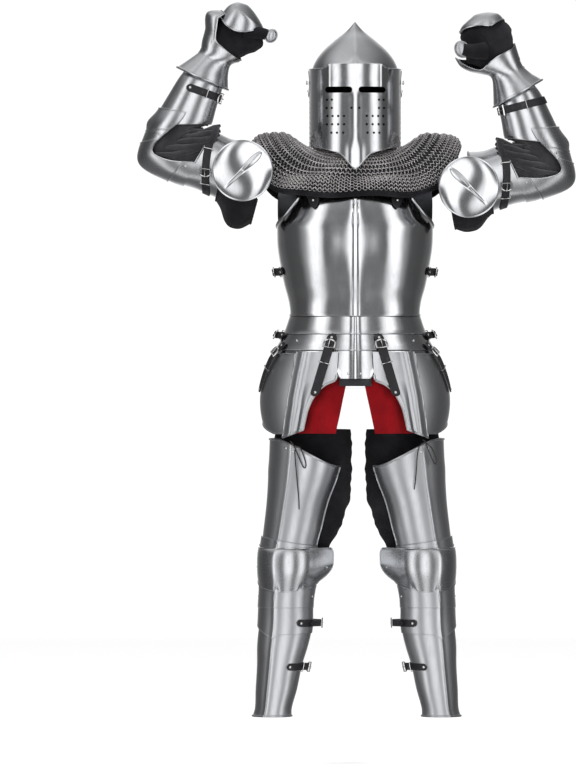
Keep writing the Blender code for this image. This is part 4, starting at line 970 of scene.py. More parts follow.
def shoulder_straps():
    """Leather ends that come out under the mail and hold the breast to the back."""
    shape = Shape()
    for sign in (-1, 1):
        path, half, out = [], [], []
        for level in np.linspace(TORSO_TOP, 1.432, 14):
            across = blend(0.108, 0.103, (TORSO_TOP - level) / 0.068)
            turn = np.degrees(np.arcsin((across / TORSO(level)[0]) ** 1.125))
            here, beside = (torso_point(level, [sign * (turn + step)], 0.0030)[0]
                            for step in (0, 4))
            along = unit(beside - here)
            path.append(here)
            # the end is rounded
            half.append(along * 0.0165 * np.sqrt(np.clip((level - 1.4315) / 0.020, 0, 1)))
            out.append(np.cross(along, UP) * sign)
        shape.strip(path, half, out, LEATHER)
        shape.rivet(path[9] + out[9] * LEATHER, out[9], 0.0042, finish=1)
    dress(shape, "shoulder_strap_ends", (LEATHER_FINISH, TRIM))


# ================================================================ fauld, tassets, lining

SKIRT = Track((  # height, half_width, front, back
    (1.1575, 0.1655, 0.1250, 0.1050),
    (1.1140, 0.1810, 0.1360, 0.1140),
    (1.0700, 0.2050, 0.1480, 0.1240),
    (1.0000, 0.2260, 0.1570, 0.1360),
    (0.9300, 0.2340, 0.1600, 0.1420),
    (0.8400, 0.2280, 0.1600, 0.1420)))
FAULD_LAMES = (1.1575, 1.1120, 1.0700, 1.0340)
LAME_OVERLAP, LAME_LIFT, LAME_SINK = 0.010, 0.0016, 0.0019  # each lame lies under the one above
FAULD_RIVETS = ((-0.0185, 1.011), (0.0140, 1.011), (-0.150, 1.095), (0.150, 1.095))
FAULD_POINT, FAULD_POINT_HALF, FAULD_BACK_FOOT = 0.998, 0.040, 0.972
SKIRT_CORE = (0, 0, 1.08)


def skirt_point(height, turns=None, across=None, lift=0.0):
    """Points on the skirt's surface, by angle from the front or by place across."""
    sizes = SKIRT(height) + lift
    half, front, back = sizes[..., 0], sizes[..., 1], sizes[..., 2]
    if turns is None:
        sine = np.clip(across / half, -1, 1)
        return np.stack(np.broadcast_arrays(across, -front * np.sqrt(1 - sine * sine), height), -1)
    turn = np.radians(turns)
    depth = np.where(np.cos(turn) > 0, front, back)
    return np.stack(np.broadcast_arrays(half * np.sin(turn), -depth * np.cos(turn), height), -1)


def lame_rows(k, turns, top, foot):
    """Lame k: rows from its top edge to its foot, with a slight roll at the foot."""
    rows = []
    top, lift = top + (LAME_OVERLAP if k else 0), LAME_LIFT - LAME_SINK * k
    for share in np.linspace(0, 1, 12):
        row = skirt_point(blend(top, foot, share) * np.ones_like(turns), turns)
        rows.append(row + unit(row * (1, 1, 0)) * (lift + 0.0010 * smooth(share, 0.80, 1.0)))
    return np.array(rows)


def fauld_front():
    """Hoops round the hips, each under the one above, with the centre ridge and the point."""
    shape = Shape()
    turns = np.concatenate((np.linspace(-94, -14, 44), np.linspace(-13, 13, 40),
                            np.linspace(14, 94, 44)))
    ridge = 0.0035 * np.exp(-(turns / 2.6) ** 2)
    for k, (top, foot) in enumerate(zip(FAULD_LAMES, FAULD_LAMES[1:])):
        if k == 2:
            across = np.abs(SKIRT(foot)[0] * np.sin(np.radians(turns)))
            foot = blend(FAULD_POINT, foot, smooth(across, FAULD_POINT_HALF - 0.004,
                                                   FAULD_POINT_HALF + 0.020))
        rows = lame_rows(k, turns, top, foot)
        rows[:, :, 1] -= ridge
        shape.sheet(rows, [SKIRT_CORE] * len(rows))
        shape.tube(rows[-1] + (0, 0.0006, 0.0008), 0.0016, sides=6)
    for across, height in FAULD_RIVETS:
        place = skirt_point(np.array(height), across=np.array(across), lift=0.0012)
        shape.rivet(place, place * (0.6, 1, 0), 0.0030, finish=1)
    dress(shape, "fauld_front_lames", (STEEL, TRIM), ("fauld_front",))


def fauld_back():
    shape, turns = Shape(), np.linspace(91, 269, 66)
    feet = (*FAULD_LAMES[:-1], FAULD_BACK_FOOT)
    for k, (top, foot) in enumerate(zip(feet, feet[1:])):
        rows = lame_rows(k, turns, top, foot)
        rows -= [tucked(row, turns) for row in rows]
        shape.sheet(rows, [SKIRT_CORE] * len(rows))
        shape.tube(rows[-1], 0.0016, sides=6)
    dress(shape, "fauld_back_lames", (STEEL,), ("fauld_back",))


def fauld_leather():
    """The leather that shows below the fauld's point."""
    shape = Shape()
    path = skirt_point(np.linspace(1.020, 0.979, 6), across=np.zeros(6), lift=-0.0080)
    shape.strip(path, [(0.041, 0, 0)] * 6, [FRONT] * 6, LEATHER)
    dress(shape, "fauld_centre_leather", (LEATHER_FINISH,))


TASSET_EDGES = Track((  # height, outer_across, inner_across
    (1.066, 0.149, 0.044), (1.030, 0.156, 0.046), (0.996, 0.163, 0.050), (0.984, 0.165, 0.074),
    (0.970, 0.168, 0.092), (0.948, 0.172, 0.108), (0.925, 0.175, 0.119), (0.896, 0.180, 0.127),
    (0.868, 0.186, 0.133)))
TASSET_FOOT_DROP, TASSET_LIFT, TASSET_SIDE_LIFT = 0.020, 0.0066, 0.0040
TASSET_SIDE_ENDS = (1.060, 0.858)
TASSET_SIDE = Track((  # height, front_angle, back_angle
    (1.060, 46, 112), (1.020, 44, 122), (0.975, 43, 129), (0.930, 43, 130), (0.902, 44, 112),
    (0.882, 46, 91), (0.867, 49, 74), (0.858, 53, 63)))


def front_tasset(name):
    """The pointed plate in front, with a raised band and a sharp line down its outer edge."""
    shape, shares = Shape(), np.linspace(0, 1, 46)
    heights = np.concatenate((np.linspace(1.066, 1.000, 18), np.linspace(0.998, 0.925, 40),
                              np.linspace(0.922, 0.868, 20)))
    rows = []
    for height in heights:
        outer, inner = TASSET_EDGES(height)
        across = blend(inner, outer, shares)
        low = height - TASSET_FOOT_DROP * shares * smooth(0.905 - height, 0, 0.037)
        row = skirt_point(low, across=SIDES[name] * across, lift=TASSET_LIFT)
        band = np.exp(-((across - (outer - 0.015)) / 0.0075) ** 2)
        row[:, 1] -= band * 0.0036 + 0.0014 * smooth(across - (outer - 0.030), 0, 0.010)
        middle = np.sin(math.pi * np.clip((across - inner) / (outer - 0.036 - inner), 0, 1))
        row[:, 1] -= 0.004 * middle
        rows.append(row)
    rows = np.array(rows)
    shape.sheet(rows, on_axis(heights))
    shape.tube(rows[15:, 0], 0.0034)
    shape.tube(rows[-1], 0.0030)
    shape.tube(rows[:, -1], 0.0018, sides=6)
    dress(shape, "front_tasset_" + name, (STEEL_SATIN,), ("tasset_front_" + name,))


def side_tasset(name):
    """The smaller dished plate at the hip, with a rolled rim."""
    shape, shares = Shape(), np.linspace(0, 1, 44)
    heights = blend(*TASSET_SIDE_ENDS, shares)
    rows = []
    for height, down in zip(heights, shares):
        start, stop = TASSET_SIDE(height)
        row = skirt_point(height, SIDES[name] * blend(start, stop, shares), lift=TASSET_SIDE_LIFT)
        dish = np.sin(math.pi * shares) * math.sin(math.pi * down)
        rows.append(row + unit(row * (1, 1, 0)) * (0.006 * dish)[:, None])
    rows = np.array(rows)
    shape.sheet(rows, on_axis(heights))
    rim = np.concatenate((rows[:, 0], rows[-1, 1:-1], rows[::-1, -1], rows[0, -2:0:-1]))
    shape.tube(rim, 0.0024, closed=True, sides=7)
    dress(shape, "side_tasset_" + name, (STEEL_SATIN,), ("tasset_side_" + name,))


def red_cloth(name):
    """The red cloth that hangs in folds behind the front tasset."""
    shape, shares = Shape(), np.linspace(0, 1, 40)
    heights = np.linspace(1.028, 0.858, 46)
    rows = []
    for height, down in zip(heights, np.linspace(0, 1, 46)):
        across = blend(blend(0.014, 0.050, down), blend(0.150, 0.176, down), shares)
        row = skirt_point(height, across=SIDES[name] * across, lift=-0.0085)
        fold = np.sin(across * 150 + (1.03 - height) * 9 + SIDES[name]) * 0.6
        fold += np.sin(across * 66)
        row[:, 1] += 0.0030 * fold * smooth(1.03 - height, 0, 0.10)
        rows.append(row)
    shape.sheet(rows, on_axis(heights), LINING)
    cloth = dress(shape, "red_cloth_" + name, (RED,), ("red_lining_" + name,), sharp=60)


breastplate()
side_plates()
backplate()
shoulder_straps()
fauld_front()
fauld_back()
fauld_leather()
for wearer_side in SIDES:
    front_tasset(wearer_side)
    side_tasset(wearer_side)
    red_cloth(wearer_side)


# ================================================================ arms

SHOULDER = {"right": (0.285, 1.522), "left": (0.289, 1.495)}
ARM_SWING = {"right": 0.0, "left": -5.5}
ARM = Track((  # out, up: from the shoulder; tilt of the section's width; half_width, half_depth
    (0.0120, 0.0030, -76, 0.0810, 0.0760), (0.0480, 0.0120, -77, 0.0780, 0.0730),
    (0.0910, 0.0310, -69, 0.0770, 0.0690), (0.1300, 0.0460, -53, 0.0840, 0.0660),
    (0.1580, 0.0630, -37, 0.0910, 0.0640), (0.1750, 0.0830, -23, 0.0950, 0.0630),
    (0.1685, 0.1100, -9, 0.0835, 0.0620), (0.1530, 0.1380, 5, 0.0740, 0.0600),
    (0.1310, 0.1855, 14, 0.0640, 0.0540), (0.1075, 0.2320, 24, 0.0560, 0.0470),
    (0.0880, 0.2620, 28, 0.0445, 0.0410)), keyed=False)
COUTER = Track((  # arm_row, start_angle, stop_angle
    (2.75, 12, 205), (3.25, 18, 205), (4.10, 30, 205), (5.00, 38, 205), (5.60, 30, 205),
    (6.20, 14, 205), (6.80, 6, 205), (7.40, 2, 205)))
COUTER_LAMES = (  # first_row, last_row, lift at each end: the elbow cop and its lames
    (2.55, 3.34, 0.0030, 0.0034), (6.14, 7.40, 0.0040, 0.0042), (5.56, 6.26, 0.0056, 0.0052),
    (3.20, 5.66, 0.0056, 0.0072))
ELBOW_INNER = Track(((2.60, 0.94), (3.60, 0.84), (4.60, 0.78), (5.60, 0.82), (6.60, 0.94),
                     (7.05, 0.96)))
SLEEVE_FOLDS = (  # out and up of each end from the shoulder, how far in front, thickness
    (0.150, 0.108, 0.060, 0.121, 0.050, 0.0075), (0.174, 0.096, 0.060, 0.110, 0.057, 0.0085),
    (0.194, 0.080, 0.062, 0.098, 0.061, 0.0085), (0.212, 0.063, 0.068, 0.086, 0.063, 0.0085),
    (0.226, 0.046, 0.076, 0.073, 0.063, 0.0085), (0.212, 0.033, 0.086, 0.060, 0.060, 0.0080),
    (0.186, 0.024, 0.096, 0.048, 0.056, 0.0075))
UNDERARM = Track((  # arm_row, sag of the padding under the arm
    (-1.70, 0.030), (-1.10, 0.050), (-0.40, 0.056), (0.20, 0.044), (0.70, 0.018), (1.10, 0.003)))
UNDERARM_SHARE = {"right": 1.0, "left": 0.62}
ROUND = np.linspace(-180, 180, 73)[:-1]


def from_shoulder(name, out, up):
    """Place across and height of points given out from and up from the shoulder."""
    swing = math.radians(ARM_SWING[name])
    across, height = SHOULDER[name]
    return (SIDES[name] * (across + out * math.cos(swing) - up * math.sin(swing)),
            height + out * math.sin(swing) + up * math.cos(swing))


def limb(name, values, turns, lift=0.0):
    """Points round an arm or a hand section, the section's core and its width direction."""
    out, up, tilt, wide, deep = values
    across, height = from_shoulder(name, out, up)
    core, tilted = np.array((across, 0, height)), math.radians(tilt + ARM_SWING[name])
    side = np.array((SIDES[name] * math.cos(tilted), 0, math.sin(tilted)))
    return section(core, side, wide + lift, deep + lift, deep + lift, turns), core, side


def arm(name, row, turns, lift=0.0):
    return limb(name, ARM(row), turns, lift)


def arm_tube(name, label, node, levels, rolls):
    """A closed plate round the arm, with a roll at each end."""
    shape = Shape()
    rows, cores, _ = zip(*(arm(name, level, ROUND) for level in levels))
    shape.sheet(rows, cores, closed=True)
    for row, radius in zip((rows[0], rows[-1]), rolls):
        shape.tube(row, radius, closed=True)
    dress(shape, label + name, (STEEL_ARM,), (node + name,))


def elbow_cop(name):
    """The pointed elbow cop and the lames above and below it."""
    shape = Shape()
    for first, last, near, far in COUTER_LAMES:
        wide = last - first > 1
        rows, cores = [], []
        for share in np.linspace(0, 1, 32 if wide else 9):
            level = blend(first, last, share)
            turns = np.linspace(*COUTER(level), 48)
            swell = math.sin(math.pi * share) if wide else 0.0
            row, core, side = arm(name, level, turns, blend(near, far, share) + 0.0028 * swell)
            point = 0.0060 * np.exp(-((turns - 90) / 16.0) ** 2) * swell ** 3
            rows.append(row + np.outer(point, side))
            cores.append(core)
        rows = np.array(rows)
        shape.sheet(rows, cores, 0.0016)
        edge = [rows[0, :0:-1]] if wide else []
        shape.tube(np.concatenate((*edge, rows[:, 0], rows[-1, 1:])), 0.0019, sides=7)
        middle = blend(first, last, 0.5)
        row, core, _ = arm(name, middle, [COUTER(middle)[0] + 9], blend(near, far, 0.5) + 0.0005)
        shape.rivet(row[0], row[0] - core, 0.0034, finish=1)
    dress(shape, "elbow_cop_" + name, (STEEL_ARM, TRIM), ("couter_" + name,))


def sleeve_folds(shape, name):
    """Soft folds that fan out of the crook across the sleeve's front."""
    shares, ends = np.linspace(0, 1, 18), []
    sag = np.sin(math.pi * shares)
    for k, (out, up, end_out, end_up, ahead, size) in enumerate(SLEEVE_FOLDS):
        ups = blend(up, end_up, shares) - 0.007 * sag + 0.0020 * np.sin(shares * 9 + 2 * k)
        across, heights = from_shoulder(name, blend(out, end_out, shares), ups)
        path = np.stack((across, -ahead * (0.72 + 0.28 * sag), heights), -1)
        thickness = size * (0.30 + 0.70 * np.sin(math.pi * np.clip(shares, 0.04, 0.97)) ** 0.5)
        shape.tube(path, thickness, sides=12, out=np.tile(FRONT, (18, 1)))
        ends.append(path[-3])
    shape.tube(ends[:6], 0.0105, sides=12, out=np.tile(FRONT, (6, 1)))


def sleeve(name):
    """The cloth in the crook of the arm, with gathers that fan out of it."""
    shape, turns = Shape(), np.linspace(-180, 180, 109)[:-1]
    round_turn = np.radians(turns)
    rows, cores = [], []
    for level in np.linspace(2.60, 7.05, 66):
        row, core, side = arm(name, level, turns, -0.0045)
        inward = (row - core) @ side
        row += np.outer(np.minimum(inward, 0) * (ELBOW_INNER(level)[0] - 1), side)
        fan = np.sin(level * 7.5 + round_turn * 1.5 + 0.8 * np.sin(round_turn * 3))
        small = np.sin(level * 17 - round_turn * 4 + 1.3 * np.sin(level * 3))
        gathers = (0.0048 * fan + 0.0016 * small) * smooth(-inward, 0.0, 0.05)
        rows.append(row + unit(row - core) * gathers[:, None])
        cores.append(core)
    shape.sheet(rows, cores, CLOTH, closed=True)
    sleeve_folds(shape, name)
    piece = dress(shape, "sleeve_crook_" + name, (SLEEVE,), ("elbow_cloth_" + name,), sharp=70)


def underarm_padding(name):
    """The quilted padding that sags below the upper arm."""
    shape, (start, stop), lift = Shape(), (38, 142), CLOTH + 2 * GAP
    turns = np.linspace(start, stop, 46)
    hang = np.sin(math.pi * (turns - start) / (stop - start))
    quilt = 0.0010 * np.abs(np.sin((turns - start) * math.pi / 13))
    rows, cores = [], []
    for level in np.linspace(*UNDERARM.keys[[0, -1]], 34):
        row, core, side = arm(name, max(level, 0), turns, lift)
        if level < 0:
            # above the arm's first section it runs straight on
            step, here, _ = arm(name, 1, turns, lift)
            row, core = row + (step - row) * level, core + (here - core) * level
        sag = UNDERARM(level)[0] * UNDERARM_SHARE[name]
        rows.append(row + np.outer(sag * hang + quilt, side))
        cores.append(core)
    rows = np.array(rows)
    shape.sheet(rows, cores, CLOTH)
    for edge in (rows[:, 0], rows[:, -1], rows[0], rows[-1]):
        shape.tube(edge, 0.0024, sides=7)
    piece = dress(shape, "underarm_padding_" + name, (BLACK,), ("underarm_pad_" + name,), sharp=70)


# ================================================================ hands

PALM, HAND_TILT = (0.0285, 0.3520), 33
GAUNTLET = {  # shift, reach, tilt, half_width, half_depth
    "right": Track((
        (0.0048, -0.1332, 24, 0.0716, 0.0640), (0.0054, -0.1157, 25, 0.0620, 0.0560),
        (0.0060, -0.0946, 27, 0.0510, 0.0455), (0.0058, -0.0710, 28, 0.0430, 0.0370),
        (0.0046, -0.0507, 31, 0.0530, 0.0390), (0.0040, -0.0258, 33, 0.0620, 0.0410),
        (0.0110, -0.0030, 33, 0.0700, 0.0420), (0.0150, 0.0130, 33, 0.0715, 0.0415),
        (0.0140, 0.0270, 33, 0.0640, 0.0390), (0.0110, 0.0400, 33, 0.0470, 0.0350)),
        keyed=False),
    "left": Track((
        (0.0048, -0.1332, 35, 0.0716, 0.0640), (0.0054, -0.1157, 32, 0.0620, 0.0560),
        (0.0060, -0.0946, 28, 0.0510, 0.0455), (0.0058, -0.0710, 28, 0.0430, 0.0370),
        (-0.0010, -0.0507, 31, 0.0510, 0.0390), (-0.0120, -0.0258, 33, 0.0665, 0.0410),
        (-0.0170, -0.0010, 33, 0.0765, 0.0420), (-0.0170, 0.0210, 33, 0.0780, 0.0420)),
        keyed=False)}
HAND_RIM = {  # angle, row the hand plate's far edge reaches
    "right": Track(((-180, 7.6), (-150, 5.4), (-120, 4.6), (-90, 4.4), (-45, 4.3), (0, 4.45),
                    (27, 4.75), (33, 5.6), (38, 8.2), (48, 8.8), (125, 8.9), (145, 8.8),
                    (165, 8.3), (180, 7.6))),
    "left": Track(((-180, 5.8), (-135, 6.2), (-90, 7.0), (-64, 6.0), (-55, 4.9), (-45, 4.55),
                   (-7, 4.86), (15, 5.0), (51, 5.0), (90, 5.4), (135, 5.4), (180, 5.8)))}
HAND_FOOT = {  # angle, row where the hand plate's lower edge lies on the cuff
    "right": Track(((-180, 3.5), (-90, 3.95), (-60, 3.8), (-25, 2.65), (0, 2.6), (45, 2.7),
                    (90, 2.9), (180, 3.5))),
    "left": Track(((-180, 3.7), (-90, 4.1), (-75, 3.95), (-30, 2.75), (25, 3.2), (90, 3.75),
                   (180, 3.7)))}
FINGERS = {
    "right": Track((
        (0.0105, 0.0870, 33, 0.0010, 0.0010), (0.0100, 0.0850, 33, 0.0110, 0.0080),
        (0.0090, 0.0800, 33, 0.0260, 0.0200), (0.0030, 0.0700, 33, 0.0420, 0.0340),
        (-0.0030, 0.0560, 33, 0.0545, 0.0450), (-0.0040, 0.0250, 33, 0.0590, 0.0500),
        (-0.0040, 0.0000, 33, 0.0600, 0.0500), (-0.0040, -0.0200, 33, 0.0595, 0.0490)),
        keyed=False),
    "left": Track((
        (0.0000, 0.0960, 33, 0.0010, 0.0010), (0.0000, 0.0940, 33, 0.0110, 0.0080),
        (-0.0020, 0.0895, 33, 0.0280, 0.0200), (-0.0040, 0.0830, 33, 0.0430, 0.0320),
        (-0.0010, 0.0700, 33, 0.0560, 0.0430), (0.0020, 0.0500, 33, 0.0580, 0.0500),
        (0.0020, 0.0200, 33, 0.0620, 0.0510), (0.0000, -0.0100, 33, 0.0630, 0.0500)),
        keyed=False)}
HAND_START, FINGER_START = 3.7, {"right": 3.7, "left": 3.3}      # rings run level up to here
FINGER_RIM = {  # angle, row the mitten plate's edge reaches
    "right": Track(((-180, 6.5), (-157, 6.0), (-135, 5.0), (-112, 4.3), (-90, 4.05), (-40, 4.43),
                    (-18, 4.95), (2, 5.35), (25, 5.45), (54, 5.2), (75, 5.05), (90, 4.7),
                    (112, 4.42), (137, 4.42), (157, 5.4), (180, 6.5))),
    "left": Track(((-180, 6.4), (-157, 6.0), (-135, 5.2), (-112, 4.1), (-90, 3.7), (-43, 3.6),
                   (-4, 4.17), (22, 4.88), (45, 4.84), (90, 4.96), (135, 5.8), (180, 6.4)))}
GLOVE = {
    "right": Track((
        (0.0060, 0.0650, 33, 0.0140, 0.0090), (0.0050, 0.0590, 33, 0.0345, 0.0210),
        (-0.0060, 0.0440, 33, 0.0530, 0.0290), (-0.0170, 0.0200, 33, 0.0620, 0.0350),
        (-0.0120, -0.0030, 33, 0.0580, 0.0350), (-0.0010, -0.0330, 32, 0.0480, 0.0340),
        (0.0058, -0.0710, 28, 0.0370, 0.0310)), keyed=False),
    "left": Track((
        (-0.0030, 0.0810, 33, 0.0140, 0.0090), (-0.0030, 0.0760, 33, 0.0340, 0.0200),
        (-0.0060, 0.0640, 33, 0.0530, 0.0290), (0.0010, 0.0357, 33, 0.0635, 0.0350),
        (-0.0020, 0.0173, 33, 0.0670, 0.0360), (-0.0080, -0.0020, 33, 0.0660, 0.0360),
        (-0.0010, -0.0330, 32, 0.0480, 0.0340), (0.0058, -0.0710, 28, 0.0370, 0.0310)),
        keyed=False)}
THUMB = {  # across and along the hand, radius, and the depths of its front and back
    "right": (-0.0837, 0.0530, 0.0150, -0.046, 0.004),
    "left": (-0.0718, 0.0321, 0.0185, -0.066, -0.038)}
THUMB_DOME = (  # depth behind the thumb's front, and the radius there as a share of its own
    (0.0, 0.12), (0.0008, 0.42), (0.0030, 0.70), (0.0060, 0.88), (0.0100, 0.98), (0.0150, 1.02))
FINE_ROUND = np.linspace(-180, 180, 91)[:-1]


def hand_values(values):
    """Turns a hand row's shift and reach into places from the shoulder."""
    shift, reach, tilt, wide, deep = values
    turn = math.radians(HAND_TILT)
    return (PALM[0] + shift * math.cos(turn) - reach * math.sin(turn),
            PALM[1] + shift * math.sin(turn) + reach * math.cos(turn), tilt, wide, deep)


def hand(name, tables, row, turns, lift=0.0):
    return limb(name, hand_values(tables[name](row)), turns, lift)


def uneven(name, tables, levels, turns, lift=0.0):
    """A ring round the hand whose points lie at different rows."""
    return np.array([hand(name, tables, level, [turn], lift)[0][0]
                     for level, turn in zip(levels, turns)])


def rimmed(shape, name, tables, straight, rim, capped=False):
    """A sheet of rings, level up to a row and then uneven up to its far rim."""
    turns, rows, cores = FINE_ROUND, [], []
    ends, last = rim(turns)[:, 0], min(len(tables[name].keys) - 1.5, 6.5)
    for share in np.linspace(-1, 1, 24):
        if share < 0:
            row, core, _ = hand(name, tables, straight * (1 + share), turns)
        else:
            row = uneven(name, tables, blend(straight, ends, share), turns)
            core = hand(name, tables, blend(straight, last, share), turns[:1])[1]
        rows.append(row)
        cores.append(core)
    shape.sheet(rows, cores, closed=True, capped=capped)
    return rows, cores


def gauntlet(name):
    """The flared cuff with its rivets, and the hand plate that lies over it."""
    shape = Shape()
    rows, cores = rimmed(shape, name, GAUNTLET, HAND_START, HAND_RIM[name])
    shape.tube(rows[0], 0.0030, closed=True)
    shape.tube(rows[-1], 0.0017, closed=True, sides=7)
    for turn in (-35.0, 35.0, 80.0, 125.0):
        row, core, _ = hand(name, GAUNTLET, 2.75, [turn], 0.0004)
        shape.rivet(row[0], row[0] - core, 0.0028, finish=1)
    feet, rims = HAND_FOOT[name](FINE_ROUND)[:, 0], HAND_RIM[name](FINE_ROUND)[:, 0]
    band = [uneven(name, GAUNTLET, blend(feet, rims, share), FINE_ROUND, 0.0016)
            for share in np.linspace(0, 0.97, 16)]
    shape.sheet(band, [cores[len(cores) // 2]] * 16, 0.0012, closed=True)
    dress(shape, "gauntlet_cuff_" + name, (STEEL_ARM, TRIM), ("gauntlet_" + name,))


def finger_plate(name):
    shape = Shape()
    rows, _ = rimmed(shape, name, FINGERS, FINGER_START[name], FINGER_RIM[name], capped=True)
    shape.tube(rows[-1], 0.0022, closed=True)
    dress(shape, "finger_mitten_" + name, (STEEL_ARM,), ("finger_plate_" + name,))


def in_hand(name, shift, reach):
    """A point in the middle of the hand's depth, and the direction across the hand."""
    _, point, side = limb(name, hand_values((shift, reach, HAND_TILT, 1, 1)), [0.0])
    return point, side


def glove(name):
    """The black glove's fist with its knuckles, its creases at the wrist and its thumb."""
    shape = Shape()
    rows, cores = [], []
    for level in np.linspace(0, len(GLOVE[name].keys) - 1, 52):
        row, core, side = hand(name, GLOVE, level, ROUND)
        palm = smooth(np.cos(np.radians(ROUND)), 0.0, 0.6) * smooth(level, 0.4, 1.5)
        along = (row - core) @ side
        knuckle = np.sin(along * 250 + 1.0) * palm * smooth(4.6 - level, 0, 1.5)
        crease = np.sin(level * 6.0 + along * 60) * smooth(level, 3.0, 4.2)
        rows.append(row + unit(row - core) * (0.0010 * knuckle + 0.0010 * crease)[:, None])
        cores.append(core)
    cores[:26] = [cores[26]] * 26
    shape.sheet(rows, cores, CLOTH, closed=True, capped=True)
    shift, reach, radius, front, back = THUMB[name]
    (tip, side), (palm, _) = in_hand(name, shift, reach), in_hand(name, -0.020, reach - 0.030)
    shares = np.linspace(0, 1, 16)[:, None]
    path = blend(palm + (0, front * 0.50, 0), tip + (0, blend(front, back, 0.30), 0), shares)
    path += np.sin(math.pi * shares) * unit(np.cross(side, FRONT)) * 0.004
    shape.tube(path, radius * np.linspace(1.25, 0.86, 16), sides=20, out=np.tile(FRONT, (16, 1)))
    dress(shape, "glove_fist_" + name, (BLACK,), ("glove_" + name,), sharp=70)


def thumb_plate(name):
    """The short steel tube over the thumb, domed in front."""
    shape, turns = Shape(), np.linspace(-180, 180, 49)[:-1]
    shift, reach, radius, front, back = THUMB[name]
    core, side = in_hand(name, shift, reach)
    rows, cores = [], []
    for depth, share in [(front + depth, share) for depth, share in THUMB_DOME] + [(back, 1.0)]:
        centre, wide = core + (0, depth, 0), radius * share
        rows.append(section(centre, side, wide, wide * 1.2, wide * 1.2, turns,
                            ahead=unit(np.cross(side, FRONT))))
        cores.append(centre + (0, 0.03, 0))
    shape.sheet(rows, cores, closed=True, capped=True)
    shape.tube(rows[4], 0.0014, closed=True)
    dress(shape, "thumb_tube_" + name, (STEEL_SATIN,), ("thumb_plate_" + name,))


# ================================================================ besagews

BESAGEW = {"right": (0.287, 1.528), "left": (0.289, 1.486)}
BESAGEW_RADIUS, BESAGEW_RIM, BESAGEW_DOME = 0.076, -0.133, 0.014
FLUTE = Track((  # place along the diagonal as a share of the radius, half width of the flute
    (-0.86, 0.0010), (-0.70, 0.0028), (-0.10, 0.0050), (0.45, 0.0092), (0.75, 0.0070),
    (0.93, 0.0010)))
FLUTE_SLOPE = 0.55
BESAGEW_TURN = 0.18     # how steeply it faces outward
BESAGEW_SADDLE = 3.4    # how much more it is curved along the flute than across it, per metre


def besagew(name):
    """A domed round plate with a raised diagonal flute and a rolled rim."""
    sign, (across, height) = SIDES[name], BESAGEW[name]
    shape, turns = Shape(), np.linspace(-180, 180, 181)[:-1]
    core = np.array((sign * across, BESAGEW_RIM, height))
    rows = []
    for share in (0.02, *np.linspace(0.05, 0.96, 32), 0.985, 1.0):
        ring = section(core, RIGHTWARD, *[BESAGEW_RADIUS * share] * 3, turns, ahead=UP)
        off = ring - core
        diagonal = np.abs(off[:, 2] + sign * off[:, 0]) / math.sqrt(2)
        along = (off[:, 2] - sign * off[:, 0]) / math.sqrt(2) / BESAGEW_RADIUS
        flute = FLUTE_SLOPE * np.maximum(FLUTE(along)[:, 0] - diagonal, 0)
        ring[:, 1] -= BESAGEW_DOME * (1 - share * share) + flute * (1 - share ** 12)
        ring[:, 1] -= sign * off[:, 0] * off[:, 2] * BESAGEW_SADDLE * (1 - share ** 3)
        ring[:, 1] += sign * off[:, 0] * BESAGEW_TURN
        rows.append(ring)
    shape.sheet(rows, [core + (0, 0.15, 0)] * len(rows), closed=True, capped=True)
    shape.tube(rows[-1], 0.0021, closed=True)
    dress(shape, "besagew_dish_" + name, (STEEL,), ("besagew_" + name,))


for wearer_side in SIDES:
    arm_tube(wearer_side, "upper_arm_plate_", "rerebrace_", np.linspace(0, 2.62, 26),
             (0.0030, 0.0024))
    arm_tube(wearer_side, "forearm_plate_", "vambrace_", np.linspace(6.6, 10, 36),
             (0.0010, 0.0018))
    elbow_cop(wearer_side)
    sleeve(wearer_side)
    underarm_padding(wearer_side)
    gauntlet(wearer_side)
    finger_plate(wearer_side)
    glove(wearer_side)
    thumb_plate(wearer_side)
    besagew(wearer_side)


# ================================================================ legs

LEG_SPREAD, LEG_TURN = {"right": 0.000, "left": 0.009}, 26
LEG = Track((  # height, out, half_width, front, back
    (0.860, 0.1215, 0.0960, 0.098, 0.092), (0.773, 0.1270, 0.0950, 0.096, 0.090),
    (0.737, 0.1330, 0.0900, 0.092, 0.088), (0.686, 0.1445, 0.0815, 0.086, 0.082),
    (0.609, 0.1590, 0.0755, 0.078, 0.074), (0.563, 0.1677, 0.0725, 0.075, 0.068),
    (0.507, 0.1700, 0.0720, 0.078, 0.062), (0.455, 0.1735, 0.0680, 0.070, 0.062),
    (0.430, 0.1755, 0.0670, 0.068, 0.064), (0.353, 0.1790, 0.0680, 0.062, 0.072),
    (0.315, 0.1850, 0.0655, 0.060, 0.072), (0.264, 0.1930, 0.0580, 0.056, 0.066),
    (0.200, 0.2016, 0.0530, 0.052, 0.056), (0.150, 0.2095, 0.0475, 0.050, 0.050),
    (0.134, 0.2120, 0.0500, 0.053, 0.053)))
CUISSE_TOP, CUISSE_SPAN, CUISSE_FOOT = (0.773, 0.842), (-70, 128), 0.566
CUISSE_EYELETS = (22, 34)      # degrees
POLEYN = Track((  # height, inner_angle, outer_angle, wing
    (0.594, -66, 100, 0.000), (0.572, -76, 102, 0.012), (0.562, -86, 104, 0.029),
    (0.545, -90, 108, 0.034), (0.525, -90, 110, 0.034), (0.500, -90, 110, 0.028),
    (0.474, -86, 104, 0.013), (0.460, -80, 100, 0.002), (0.413, -76, 94, 0.000),
    (0.333, -76, 94, 0.000)))
POLEYN_LAMES = (  # part, top, foot, lift at each end
    ("flap", 0.424, 0.396, 0.0040, 0.0040), ("below", 0.468, 0.412, 0.0054, 0.0052),
    ("above", 0.594, 0.548, 0.0036, 0.0046), ("cop", 0.564, 0.464, 0.0072, 0.0066))
POLEYN_COUNT, POLEYN_RIVETS = 76, (5, 69)      # points across, and the ones with a rivet
